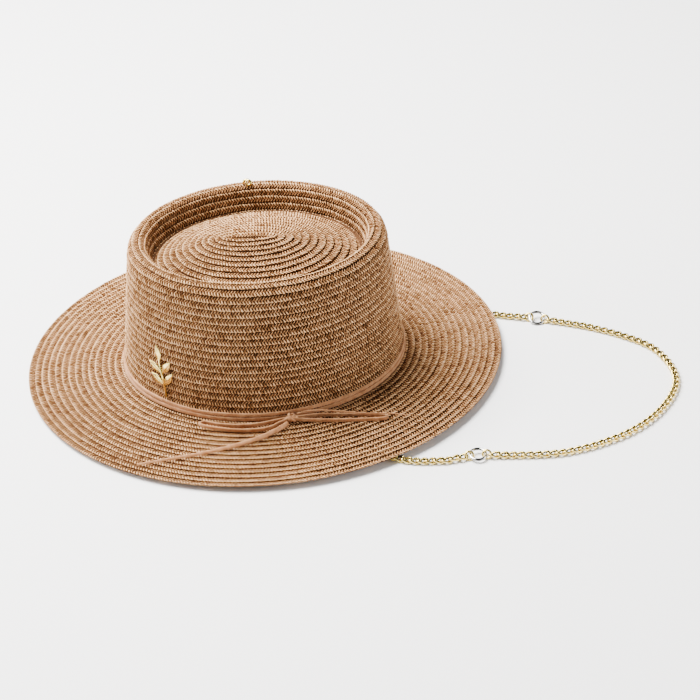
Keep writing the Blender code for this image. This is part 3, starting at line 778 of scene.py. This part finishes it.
# %% The sewn straw
BRIM_ROWS = 15
CROWN_ROWS = 36
brim_pitch = brim_section["length"] / BRIM_ROWS
crown_pitch = crown_section["length"] / CROWN_ROWS
brim_rows = [brim_pitch * (row + 0.5) for row in range(BRIM_ROWS)]
crown_rows = [crown_pitch * (row + 0.5) for row in range(CROWN_ROWS)]
print("pitch", round(brim_pitch * 1000, 2), "and", round(crown_pitch * 1000, 2), "mm")
for name, section, rows, seat, replaced in (
    ("straw_brim_edge", brim_section, brim_rows[:5], HAT, ("brim",)),
    ("straw_brim_middle", brim_section, brim_rows[5:10], HAT, ()),
    ("straw_brim_foot", brim_section, brim_rows[10:], HAT, ()),
    ("straw_wall_low", crown_section, crown_rows[:8], CROWN, ("crown",)),
    ("straw_wall_high", crown_section, crown_rows[8:16], CROWN, ()),
    ("straw_crest", crown_section, crown_rows[16:24], CROWN, ()),
    ("straw_tip", crown_section, crown_rows[24:], CROWN, ()),
):
    piece = plait_piece(name, section, rows, seat, seed=len(name))
    dress(piece, straw, replaced)

# %% [markdown]
# A thin dark skin just under the middle of the plait is painted shade: it shows dark in
# the gaps between the strands and fills the smallest of them. Its section is a saw: it
# leans with every row and steps where a row laps the next, which draws the fine dark line
# of painted shade between rows. It is a grid again, folded round the oval and then
# thickened.

# %% Painted shade between the strands
SKIN_DEPTH = 0.0003
SKIN_THICKNESS = 0.0002
SKIN_ROUND = 96
gap_shade_finish, tree, shader = new_material("gap shade")
place = add_node(tree, "ShaderNodeTexCoord").outputs["Object"]
# Painted shade: a near black brown, varied by a fine noise.
gap_shade_colour = colour_ramp(tree, noise(tree, place, 900.0, 3.0), (
    (0.35, (0.030, 0.012, 0.005)), (0.65, (0.100, 0.044, 0.018)),
))
tree.links.new(gap_shade_colour, shader.inputs["Base Color"])
set_sockets(shader, {"Roughness": 0.9, "Specular IOR Level": 0.05})


def gap_shade_skin(name, section, distances, pitch, seat):
    """A thin saw-edged skin under rows of plait."""
    saw = []
    for distance in distances:
        tilt = np.interp(distance, section["steps"], section["tilts"])
        for side in (-pitch / 2, pitch / 2):
            saw.append((distance + side, -side * tilt - SKIN_DEPTH))
    saw = np.array(saw)
    bm = bmesh.new()
    made = bmesh.ops.create_grid(bm, x_segments=SKIN_ROUND, y_segments=len(saw) - 1, size=1.0)
    flat = np.array([vert.co for vert in made["verts"]])
    angle = np.pi * (flat[:, 0] + 1)
    tooth = np.rint((flat[:, 1] + 1) / 2 * (len(saw) - 1)).astype(int)
    places = place_on(section, saw[tooth, 0], saw[tooth, 1], angle)
    for vert, place in zip(made["verts"], places):
        vert.co = place
    close_seams(bm)
    skin = mesh_piece(name, bm, smooth=False)
    skin.data.transform(seat)
    thicken(skin, SKIN_THICKNESS)
    return dress(skin, gap_shade_finish)


for name, section, rows, pitch, seat in (
    ("sized_brim", brim_section, brim_rows, brim_pitch, HAT),
    ("sized_crown", crown_section, crown_rows, crown_pitch, CROWN),
):
    skin = gap_shade_skin(name, section, rows, pitch, seat)
    print(skin.name, "has", len(skin.data.polygons), "faces")

# %% [markdown]
# The lace goes twice round the crown's foot. Two closed curves with the lace's flat section
# stand on their edges against the leaning wall, and each wanders a little up and down.

# %% Lace round the crown
BAND_STEPS = 96
BAND_RISE = 0.0002
SLOW_WAVER = 0.00018
QUICK_WAVER = 0.00012
for wrap, name in enumerate(("band_lower", "band_upper")):
    base = GAP + wrap * (LACE_WIDTH + GAP) + LACE_WIDTH / 2 + BAND_RISE
    points = []
    for step in range(BAND_STEPS):
        angle = 2 * math.pi * step / BAND_STEPS
        height = base + SLOW_WAVER * math.sin(5 * angle + wrap)
        height += QUICK_WAVER * math.sin(11 * angle + 2 * wrap)
        radius = wall_radius(height) + GAP + LACE_THICKNESS / 2
        points.append(HAT @ oval_point(radius, angle, height))
    lace = lace_curve(name.replace("band", "lace"), points, cyclic=True)
    dress(lace, suede, (name,))
    print(lace.name, "is", round(route_length(points) * 1000), "mm round")

# %% [markdown]
# The bow's loops are one lace each, led out from the knot and back. They stand on their
# edges, as a tied lace does, and bend back on themselves at their far ends.

# %% The bow's loops
LOOP_LEFT_ROUTE = (
    (0.0205, -0.0905, 0.0016),
    (0.0150, -0.0912, 0.0012),
    (0.0030, -0.0937, 0.0006),
    (-0.0110, -0.0941, 0.0),
    (-0.0260, -0.0918, 0.0),
    (-0.0365, -0.0885, 0.0),
    (-0.0402, -0.0900, 0.0),
    (-0.0368, -0.0928, 0.0),
    (-0.0270, -0.0962, 0.0),
    (-0.0110, -0.0994, 0.0),
    (0.0040, -0.0992, 0.0),
    (0.0115, -0.0968, 0.0004),
    (0.0155, -0.0944, 0.0012),
    (0.0205, -0.0922, 0.0016),
)
LOOP_RIGHT_ROUTE = (
    (0.0262, -0.0896, 0.0016),
    (0.0300, -0.0884, 0.0012),
    (0.0420, -0.0860, 0.0005),
    (0.0580, -0.0858, 0.0),
    (0.0740, -0.0868, 0.0),
    (0.0860, -0.0880, 0.0),
    (0.0902, -0.0901, 0.0),
    (0.0850, -0.0918, 0.0),
    (0.0700, -0.0922, 0.0),
    (0.0550, -0.0920, 0.0),
    (0.0420, -0.0918, 0.0004),
    (0.0312, -0.0914, 0.0012),
    (0.0265, -0.0910, 0.0016),
)
LOOP_STEP = 0.0025
for name, table in (("bow_loop_left", LOOP_LEFT_ROUTE), ("bow_loop_right", LOOP_RIGHT_ROUTE)):
    points = on_brim(table, LOOP_STEP)
    loop = lace_curve(name.replace("bow", "lace"), points)
    dress(loop, suede, (name,))
    print(loop.name, "is", round(route_length(points) * 1000), "mm of lace")

# %% [markdown]
# The knot is the lace wrapped over itself. A soft core fills it, and two turns of lace lie
# round the core at a slant, which is what the eye reads as a knot.

# %% The bow's knot
KNOT_ANGLE = math.radians(-77.2)
KNOT_LENGTH = 0.0100
KNOT_DEPTH = 0.0064
KNOT_HEIGHT = 0.0066
CORE_DEPTH = 0.56 * KNOT_DEPTH
CORE_HEIGHT = 0.42 * KNOT_HEIGHT
TURN_STEPS = 28
TURN_THICKNESS = 0.8 * LACE_THICKNESS
TURN_CLEAR = 0.04
SOFT_EDGE = 0.0003
KNOT_TURNS = (
    {"shift": 0.0002, "slant": math.radians(52.0), "width": 0.0028, "reach": 0.27},
    {"shift": 0.0006, "slant": math.radians(-38.0), "width": 0.0016, "reach": 0.42},
)
knot_face = wall_radius(GAP) + GAP + LACE_THICKNESS
knot_out = oval_normal(knot_face, KNOT_ANGLE)
knot_place = oval_point(knot_face, KNOT_ANGLE) + knot_out * (GAP + KNOT_DEPTH / 2)
knot_place.z = GAP + KNOT_HEIGHT / 2
KNOT = (
    HAT @ Matrix.Translation(knot_place)
    @ Matrix.Rotation(math.atan2(knot_out.y, knot_out.x) + math.pi / 2, 4, "Z")
)
bm = bmesh.new()
bmesh.ops.create_uvsphere(bm, u_segments=24, v_segments=14, radius=0.5)
bmesh.ops.transform(bm, matrix=Matrix.Rotation(math.pi / 2, 4, "Y"), verts=bm.verts)
bmesh.ops.scale(bm, vec=(KNOT_LENGTH, CORE_DEPTH, CORE_HEIGHT), verts=bm.verts)
bmesh.ops.transform(bm, matrix=KNOT, verts=bm.verts)
dress(mesh_piece("lace_knot_core", bm), suede, ("bow_knot",))


def knot_turn(name, turn):
    """One turn of lace round the knot's core: a slanted ring, widened to a strip."""
    lean = Matrix.Translation((turn["shift"], 0, 0)) @ Matrix.Rotation(turn["slant"], 4, "Y")
    half_depth = KNOT_DEPTH * (turn["reach"] + TURN_CLEAR)
    half_height = KNOT_HEIGHT * turn["reach"] / math.cos(turn["slant"])
    bm = bmesh.new()
    ring = []
    for step in range(TURN_STEPS):
        angle = 2 * math.pi * step / TURN_STEPS
        spot = Vector((0.0, half_depth * math.cos(angle), half_height * math.sin(angle)))
        ring.append(bm.verts.new(KNOT @ lean @ spot))
    edges = [bm.edges.new((ring[i], ring[(i + 1) % TURN_STEPS])) for i in range(TURN_STEPS)]
    across = KNOT.to_3x3() @ lean.to_3x3() @ Vector((turn["width"], 0, 0))
    widened = bmesh.ops.extrude_edge_only(bm, edges=edges)
    moved = [item for item in widened["geom"] if isinstance(item, bmesh.types.BMVert)]
    bmesh.ops.translate(bm, verts=moved, vec=across)
    bmesh.ops.translate(bm, verts=bm.verts, vec=-across / 2)
    bmesh.ops.recalc_face_normals(bm, faces=bm.faces)
    piece = mesh_piece(name, bm)
    thicken(piece, TURN_THICKNESS)
    soft = piece.modifiers.new("soft", "BEVEL")
    soft.width = SOFT_EDGE
    soft.segments = 2
    return piece


for index, turn in enumerate(KNOT_TURNS):
    dress(knot_turn("lace_knot_turn_%d" % (index + 1), turn), suede)
print("knot at", tuple(round(value, 4) for value in KNOT.translation))

# %% [markdown]
# The chain and the trims are thin plate on brass. Metal has little colour of its own and
# mirrors the room, so its roughness matters most: a faint noise keeps it from being a
# perfect mirror. An attribute of the mesh marks painted shade, which darkens the inner side
# of each link's wire and two arcs of each plain ring, and pieces that don't carry it stay
# bright.

# %% Metal finishes
DULLEST = 1.4
GLOSSIEST = 0.7


def metal(name, pale, deep, dark, roughness):
    """Plated metal whose colour and gloss vary slightly, with painted shade where the mesh marks
    it.
    """
    material, tree, shader = new_material(name)
    place = add_node(tree, "ShaderNodeTexCoord").outputs["Object"]
    painted_shade = add_node(tree, "ShaderNodeAttribute", attribute_name="painted_shade").outputs["Fac"]
    wear = noise(tree, place, 420.0, 3.0)
    colour = colour_ramp(tree, wear, ((0.35, deep), (0.60, pale)))
    shaded_colour = mix_colour(tree, painted_shade, colour, (*dark, 1.0))
    tree.links.new(shaded_colour, shader.inputs["Base Color"])
    gloss = add_node(tree, "ShaderNodeMapRange", {
        "Value": wear, "To Min": roughness * DULLEST, "To Max": roughness * GLOSSIEST,
    })
    tree.links.new(gloss.outputs["Result"], shader.inputs["Roughness"])
    relief(tree, shader, wear, 0.12)
    set_sockets(shader, {"Metallic": 1.0})
    return material


gold = metal("gold", (0.88, 0.68, 0.23), (0.66, 0.48, 0.13), (0.11, 0.085, 0.02), 0.20)
silver = metal("silver", (0.74, 0.73, 0.71), (0.56, 0.55, 0.53), (0.07, 0.065, 0.06), 0.16)
print("materials", gold.name, silver.name)

# %% [markdown]
# A curb chain's link is an oval ring of wire with a twist, so that the whole chain lies
# flat. One link is spun from a circle of wire, drawn out to an oval and twisted, and its
# copies are laid along the chain's route, each hooked through the next.

# %% One curb link
LINK_LENGTH = 0.0093
LINK_WIDTH = 0.0057
LINK_WIRE = 0.00096
LINK_TWIST = 0.00095
LINK_PITCH = 0.00550
LINK_CLEAR = 0.00015
LINK_STEPS = 20
WIRE_SIDES = 8
LINK_SHADE = 1.15
LINK_SHADE_POWER = 1.5
LINK_HALF_RUN = LINK_LENGTH / 2 - LINK_WIRE
LINK_HALF_SPAN = LINK_WIDTH / 2 - LINK_WIRE
CHAIN_REST = LINK_TWIST + LINK_WIRE + LINK_CLEAR


def wire_ring(radius, wire, steps, wire_sides=WIRE_SIDES):
    """A ring of round wire spun about the Z axis."""
    bm = bmesh.new()
    bmesh.ops.create_circle(bm, segments=wire_sides, radius=wire)
    upright = Matrix.Translation((radius, 0, 0)) @ Matrix.Rotation(math.pi / 2, 4, "X")
    bmesh.ops.transform(bm, matrix=upright, verts=bm.verts)
    bmesh.ops.spin(
        bm, geom=bm.verts[:] + bm.edges[:], cent=(0, 0, 0), axis=(0, 0, 1),
        angle=2 * math.pi, steps=steps, use_merge=True,
    )
    bmesh.ops.recalc_face_normals(bm, faces=bm.faces)
    return bm


def curb_link():
    """A wire ring drawn out to an oval and twisted so that it lies flat."""
    bm = wire_ring(1.0, LINK_WIRE, LINK_STEPS)
    # Painted shade: the wire is darker on its side that faces into the link.
    painted_shade = bm.verts.layers.float.new("painted_shade")
    for vert in bm.verts:
        angle = math.atan2(vert.co.y, vert.co.x)
        rim = math.hypot(vert.co.x, vert.co.y) - 1.0
        inward = max(0.0, 0.5 - 0.5 * rim / LINK_WIRE)
        vert[painted_shade] = min(1.0, LINK_SHADE * inward ** LINK_SHADE_POWER)
        centre = Vector((
            LINK_HALF_RUN * math.cos(angle),
            LINK_HALF_SPAN * math.sin(angle),
            LINK_TWIST * math.sin(2 * angle),
        ))
        outward = Vector((
            LINK_HALF_SPAN * math.cos(angle), LINK_HALF_RUN * math.sin(angle), 0,
        )).normalized()
        vert.co = centre + outward * rim + Vector((0, 0, vert.co.z))
    return freed_mesh("link", bm)


link = curb_link()
print("a link has", len(link.polygons), "faces, pitch", round(LINK_PITCH * 1000, 2), "mm")

# %% [markdown]
# The chain runs from one plain ring to the other in a wide loop on the floor, and from each
# ring back under the brim to a staple inside the crown. Each ring is held by a small jump
# ring on both sides. The links ride up onto the jump rings, so the route climbs there.

# %% The chain's route
RING_RADIUS = 0.0050
RING_WIRE = 0.0010
JUMP_RADIUS = 0.00275
JUMP_WIRE = 0.00055
JUMP_LEAN = math.radians(45.0)
RING_CLIMB = 0.0140
RING_REST = JUMP_RADIUS * math.sin(JUMP_LEAN) + JUMP_WIRE
JUMP_PLACE = RING_RADIUS + JUMP_RADIUS - RING_WIRE - JUMP_WIRE - GAP
FIRST_LINK_END = RING_RADIUS + RING_WIRE + LINK_WIRE + GAP
LONG_STEP = 0.0005
SHORT_STEP = 0.001
LINK_ROLL = 5
RING_BACK = (0.2014, 0.0226)
RING_FRONT = (0.1431, -0.1365)
LONG_ROUTE = (
    (0.2340, 0.0095),
    (0.2600, -0.0060),
    (0.2800, -0.0255),
    (0.2892, -0.0550),
    (0.2835, -0.0810),
    (0.2630, -0.1090),
    (0.2340, -0.1285),
    (0.1960, -0.1395),
)
BACK_ROUTE = (
    (0.1730, 0.0310),
    (0.1400, 0.0430),
    (0.1050, 0.0560),
    (0.0700, 0.0665),
    (0.0380, 0.0700),
    (0.0160, 0.0725),
)
FRONT_ROUTE = (
    (0.1150, -0.1405),
    (0.0930, -0.1360),
    (0.0640, -0.1160),
    (0.0400, -0.0970),
    (0.0230, -0.0850),
    (0.0110, -0.0790),
)
TAB_RADIUS = 0.0040
TAB_WIRE = 0.0009
TAB_HEIGHT = 0.0100


def climb(distance):
    """Height of the chain's middle at a distance from a ring."""
    share = min(max((distance - FIRST_LINK_END) / RING_CLIMB, 0.0), 1.0)
    ease = share * share * (3 - 2 * share)
    return RING_REST + (CHAIN_REST - RING_REST) * ease


def along_frame(point, direction, roll):
    """Axes at a point whose x runs along a direction, rolled about it."""
    forward = direction.normalized()
    side = Vector((0, 0, 1)).cross(forward)
    side = side.normalized() if side.length > 0.05 else Vector((1, 0, 0))
    up = forward.cross(side)
    side = up.cross(forward)
    axes = Matrix((forward, side, up)).transposed().to_4x4()
    return Matrix.Translation(point) @ axes @ Matrix.Rotation(roll, 4, "X")


def point_at(points, distance):
    """Point at a distance along fine points."""
    travelled = 0.0
    for start, end in zip(points, points[1:]):
        run = (end - start).length
        if travelled + run >= distance:
            return start.lerp(end, (distance - travelled) / run)
        travelled += run
    return points[-1].copy()


def lay_links(name, points, first, last, replaced, seed):
    """Curb links along fine points, from one distance to another, as one mesh."""
    random = np.random.RandomState(seed)
    steps = round((last - first) / LINK_PITCH)
    bm = bmesh.new()
    for step in range(steps + 1):
        distance = first + (last - first) * step / steps
        ahead = point_at(points, distance + LINK_HALF_RUN)
        behind = point_at(points, distance - LINK_HALF_RUN)
        middle = point_at(points, distance)
        roll = math.radians(random.uniform(-LINK_ROLL, LINK_ROLL))
        add_copy(bm, link, along_frame(middle, ahead - behind, roll))
    dress(mesh_piece(name, bm), gold, replaced)
    print(name, "has", steps + 1, "links")


chosen = [on_floor(place, 0) for place in (RING_BACK, *LONG_ROUTE, RING_FRONT)]
level = smooth_route(chosen, LONG_STEP)
total = route_length(level)
long_points = []
travelled = 0.0
for index, point in enumerate(level):
    travelled += (point - level[max(index - 1, 0)]).length
    long_points.append(Vector((point.x, point.y, climb(min(travelled, total - travelled)))))
total = route_length(long_points)
first_link = FIRST_LINK_END + LINK_HALF_RUN
lay_links("curb_chain_long", long_points, first_link, total - first_link, ("chain_long",), 3)

# %% [markdown]
# The two short runs go the other way, from a ring along the floor, under the brim and up to
# the staple inside the crown.

# %% The chain's short runs


def tab_seat(side):
    """Middle of a staple's foot line, on the crown's inner wall."""
    inner = wall_radius(TAB_HEIGHT + TAB_WIRE) - STRAW / math.cos(math.atan(WALL_SLOPE))
    sag = TAB_RADIUS ** 2 / (2 * (inner + OVAL))
    return Vector((0, side * (inner - OVAL - GAP - 2 * sag), TAB_HEIGHT))


def short_points(ring, table, side):
    """Fine route from a ring's centre to its staple, and the way out of the ring."""
    centre = on_floor(ring, RING_REST)
    out = (on_floor(table[0], RING_REST) - centre).normalized()
    tube_start = JUMP_PLACE + JUMP_RADIUS + JUMP_WIRE + GAP
    points = [centre]
    for distance in (tube_start, tube_start + RING_CLIMB / 2, tube_start + RING_CLIMB):
        point = centre + out * distance
        points.append(Vector((point.x, point.y, climb(distance - tube_start + FIRST_LINK_END))))
    for place in table:
        point = on_floor(place, CHAIN_REST)
        if (point - centre).length > tube_start + 2 * RING_CLIMB:
            points.append(point)
    under_tab = tab_seat(side)
    under_tab.y -= side * TAB_RADIUS
    under_tab.z -= TAB_WIRE + GAP
    top = HAT @ under_tab
    for drop in (4, 2, 0):
        points.append(top - Vector((0, 0, drop * CHAIN_REST)))
    route = smooth_route(points, SHORT_STEP)
    for point in route:
        point.z = max(point.z, CHAIN_REST)
    return route, out


ways_out = {}
for name, ring, table, side in (
    ("back", RING_BACK, BACK_ROUTE, 1), ("front", RING_FRONT, FRONT_ROUTE, -1),
):
    points, ways_out[name] = short_points(ring, table, side)
    last = route_length(points) - LINK_HALF_RUN + LINK_WIRE
    lay_links("curb_chain_" + name, points, first_link, last, ("chain_" + name,), 5)

# %% [markdown]
# The two rings and their four jump rings are plain turns of wire. The rings lean a little,
# as they do on a slack chain. The jump rings lean half way over, so that they pass through
# the ring on one side and the last link on the other. Rings and jump rings are drawn a
# little larger or thicker than the route reckons with, which makes them read from afar.

# %% Rings
SHOWN_RING_RADIUS = 0.0054
SHOWN_JUMP_WIRE = 0.00080
RING_LIFT = 0.0003
RING_STEPS = 48
RING_WIRE_SIDES = 12
JUMP_STEPS = 28
RING_SHADE_POWER = 5
for name, ring, distance, sign, ring_lean in (
    ("back", RING_BACK, 0.0, 1, math.radians(19.0)),
    ("front", RING_FRONT, total, -1, math.radians(5.0)),
):
    centre = on_floor(ring, RING_REST + RING_LIFT)
    bm = wire_ring(SHOWN_RING_RADIUS, RING_WIRE, RING_STEPS, RING_WIRE_SIDES)
    # Painted shade: each plain ring is darker on its two arcs that face front and back.
    painted_shade = bm.verts.layers.float.new("painted_shade")
    for vert in bm.verts:
        vert[painted_shade] = abs(vert.co.normalized().y) ** RING_SHADE_POWER
    lean = Matrix.Translation(centre) @ Matrix.Rotation(ring_lean, 4, "X")
    bmesh.ops.transform(bm, matrix=lean, verts=bm.verts)
    dress(mesh_piece("plain_ring_" + name, bm), silver, ("ring_" + name,))
    near = point_at(long_points, distance + sign * JUMP_PLACE)
    toward_long = near - centre
    toward_long.z = 0
    toward_long.normalize()
    for suffix, direction in (("long", toward_long), ("hat", ways_out[name])):
        bm = wire_ring(JUMP_RADIUS, SHOWN_JUMP_WIRE, JUMP_STEPS)
        roll = JUMP_LEAN if direction.x > 0 else -JUMP_LEAN
        pose = along_frame(centre + direction * JUMP_PLACE, direction, roll)
        bmesh.ops.transform(bm, matrix=pose, verts=bm.verts)
        node = "jump_" + name + "_" + suffix
        dress(mesh_piece("turn_" + node, bm), gold, (node,))
print("two rings, four jump rings")

# %% [markdown]
# A sprig of gold leaves is pinned to the front of the crown. A leaf is a ball drawn out to
# a pointed blade, with a midrib raised along it, and the stem is a slim cone.

# %% Gold sprig
SPRIG_ANGLE = math.radians(-131.5)
SPRIG_HEIGHT = 0.0245
SPRIG_LEAN = math.radians(14.0)
STEM_LENGTH = 0.0300
STEM_RADIUS = 0.0009
STEM_TOP_RADIUS = 0.7 * STEM_RADIUS
LEAF_LENGTH = 0.0135
LEAF_WIDTH = 0.0056
LEAF_THICKNESS = 0.0022
LEAF_SPREAD = math.radians(48.0)
TOP_LEAF_FOOT = 0.5 * STEM_LENGTH - 0.35 * LEAF_LENGTH
FIRST_PAIR_FOOT = -0.22 * STEM_LENGTH
PAIR_STEP = 0.30 * STEM_LENGTH
BLADE_POWER = 1.5
RIB_WIDTH = 0.20
BLADE_SHARE = 0.45
RIM_SHARE = 0.12


def leaf_blade():
    """A leaf with pointed ends and a raised midrib, its foot at the origin, along +Z."""
    bm = bmesh.new()
    bmesh.ops.create_uvsphere(bm, u_segments=24, v_segments=20, radius=1.0)
    for vert in bm.verts:
        along = vert.co.z
        fullness = 1 - abs(along) ** BLADE_POWER
        rim = math.hypot(vert.co.x, vert.co.y)
        shrink = fullness / rim if rim > 0.001 else 0.0
        across = vert.co.x * shrink
        rib = (1 - BLADE_SHARE) * math.exp(-(across / RIB_WIDTH) ** 2)
        thickness = BLADE_SHARE + rib + RIM_SHARE * abs(across)
        vert.co.x = across * LEAF_WIDTH / 2
        vert.co.y *= shrink * thickness * LEAF_THICKNESS / 2
        vert.co.z = (along + 1) * LEAF_LENGTH / 2
    return freed_mesh("leaf", bm)


leaf = leaf_blade()
outward = oval_normal(wall_radius(SPRIG_HEIGHT), SPRIG_ANGLE)
off_wall = Vector((outward.x, outward.y, WALL_SLOPE)).normalized()
up_wall = Vector((-outward.x * WALL_SLOPE, -outward.y * WALL_SLOPE, 1)).normalized()
axes = Matrix((off_wall.cross(up_wall), off_wall, up_wall)).transposed().to_4x4()
seat = oval_point(wall_radius(SPRIG_HEIGHT), SPRIG_ANGLE, SPRIG_HEIGHT)
seat += off_wall * (GAP + LEAF_THICKNESS / 2)
SPRIG = CROWN @ Matrix.Translation(seat) @ axes @ Matrix.Rotation(SPRIG_LEAN, 4, "Y")
bm = bmesh.new()
bmesh.ops.create_cone(
    bm, cap_ends=True, segments=16, radius1=STEM_RADIUS, radius2=STEM_TOP_RADIUS,
    depth=STEM_LENGTH,
)
placings = [Matrix.Translation((0, 0, TOP_LEAF_FOOT))]
for pair in range(2):
    foot = Matrix.Translation((0, 0, FIRST_PAIR_FOOT + PAIR_STEP * pair))
    for side in (-1, 1):
        placings.append(foot @ Matrix.Rotation(side * LEAF_SPREAD, 4, "Y"))
for placing in placings:
    add_copy(bm, leaf, placing)
bmesh.ops.transform(bm, matrix=SPRIG, verts=bm.verts)
dress(mesh_piece("gold_sprig", bm), gold, ("sprig",))
print("sprig of", len(placings), "leaves")

# %% [markdown]
# Three small staples of wire hold things to the straw: a gold one on the crest at the back,
# which carries a small ring, and two inside the crown that hold the chain. Each is half a
# ring, swept as a curve.

# %% Staples
STAPLE_ANGLE = math.radians(97.6)
STAPLE_RADIUS = 0.0026
STAPLE_WIRE = 0.0010
STAPLE_INSET = 0.0012
STAPLE_LIFT = 0.0006
HALF_RING_STEPS = 16
CREST_LOOP_RADIUS = 0.0018
CREST_LOOP_WIRE = 0.0008
CREST_LOOP_STEPS = 24
CREST_LOOP_ALONG = -0.0012
CREST_LOOP_OUT = -0.0016
CREST_LOOP_UP = 0.0010
CREST_LOOP_LEAN = math.radians(62.0)


def half_ring(seat, centre, along, outward, radius):
    """Points of a half ring that stands outward from its two feet."""
    points = []
    for step in range(HALF_RING_STEPS + 1):
        angle = math.pi * step / HALF_RING_STEPS
        spot = centre + along * radius * math.cos(angle) + outward * radius * math.sin(angle)
        points.append(seat @ spot)
    return points


def wire_curve(name, points, radius):
    """Round wire with filled ends along the points."""
    curve = bpy.data.curves.new(name, "CURVE")
    curve.dimensions = "3D"
    curve.bevel_depth = radius
    curve.bevel_resolution = 4
    curve.use_fill_caps = True
    spline = curve.splines.new("POLY")
    spline.points.add(len(points) - 1)
    for target, point in zip(spline.points, points):
        target.co = (*point, 1.0)
    return bpy.data.objects.new(name, curve)


crest_out = oval_normal(CREST_RADIUS, STAPLE_ANGLE)
crest_along = Vector((-crest_out.y, crest_out.x, 0))
crest_centre = oval_point(CREST_RADIUS - STAPLE_INSET, STAPLE_ANGLE, CREST_HEIGHT + STAPLE_LIFT)
points = half_ring(CROWN, crest_centre, crest_along, Vector((0, 0, 1)), STAPLE_RADIUS)
dress(wire_curve("staple_crest", points, STAPLE_WIRE), gold, ("crest_staple",))
bm = wire_ring(CREST_LOOP_RADIUS, CREST_LOOP_WIRE, CREST_LOOP_STEPS)
loop_seat = crest_centre + crest_along * CREST_LOOP_ALONG + crest_out * CREST_LOOP_OUT
loop_seat.z += CREST_LOOP_UP
loop_pose = Matrix.Translation(loop_seat) @ Matrix.Rotation(CREST_LOOP_LEAN, 4, "X")
bmesh.ops.transform(bm, matrix=CROWN @ loop_pose, verts=bm.verts)
dress(mesh_piece("staple_crest_ring", bm), gold)
for name, side in (("back", 1), ("front", -1)):
    points = half_ring(HAT, tab_seat(side), Vector((1, 0, 0)), Vector((0, -side, 0)), TAB_RADIUS)
    dress(wire_curve("staple_" + name, points, TAB_WIRE), gold, ("chain_tab_" + name,))
print("three staples and a small ring")

# %% [markdown]
# The photograph was taken on a plain white table under soft light. One large plane is the
# table. A large area light high at the back left does most of the work, a weaker warm one
# on the left and a low one on the right lighten the hat's sides, and a pale world keeps the
# metal from mirroring black.

# %% Table and light
TABLE_HALF_SIZE = 3.0
table_finish, tree, shader = new_material("table")
set_sockets(shader, {"Base Color": (0.91, 0.91, 0.915, 1.0), "Roughness": 0.75})
bm = bmesh.new()
bmesh.ops.create_grid(bm, x_segments=1, y_segments=1, size=TABLE_HALF_SIZE)
table = mesh_piece("table", bm, smooth=False)
bpy.context.scene.collection.objects.link(table)
table.data.materials.append(table_finish)


def area_light(name, place, target, size, power, colour):
    """A square soft light that looks at a target."""
    light = bpy.data.lights.new(name, "AREA")
    light.size = size
    light.energy = power
    light.color = colour
    item = bpy.data.objects.new(name, light)
    bpy.context.scene.collection.objects.link(item)
    item.location = place
    item.rotation_euler = (Vector(target) - Vector(place)).to_track_quat("-Z", "Y").to_euler()


area_light("overhead", (-0.60, 0.45, 1.45), (0, 0, 0.03), 1.1, 172.0, (1.0, 0.985, 0.965))
area_light("left", (-1.35, 0.10, 0.55), (-0.05, 0, 0.05), 0.7, 20.0, (1.0, 0.97, 0.94))
area_light("right", (1.30, -0.35, 0.32), (-0.05, 0, 0.05), 0.8, 15.0, (1.0, 0.98, 0.96))
world = bpy.data.worlds.new("studio")
world.use_nodes = True
bpy.context.scene.world = world
set_sockets(world.node_tree.nodes["Background"], {
    "Color": (0.97, 0.98, 1.0, 1.0), "Strength": 0.30,
})
print("lights and table set")
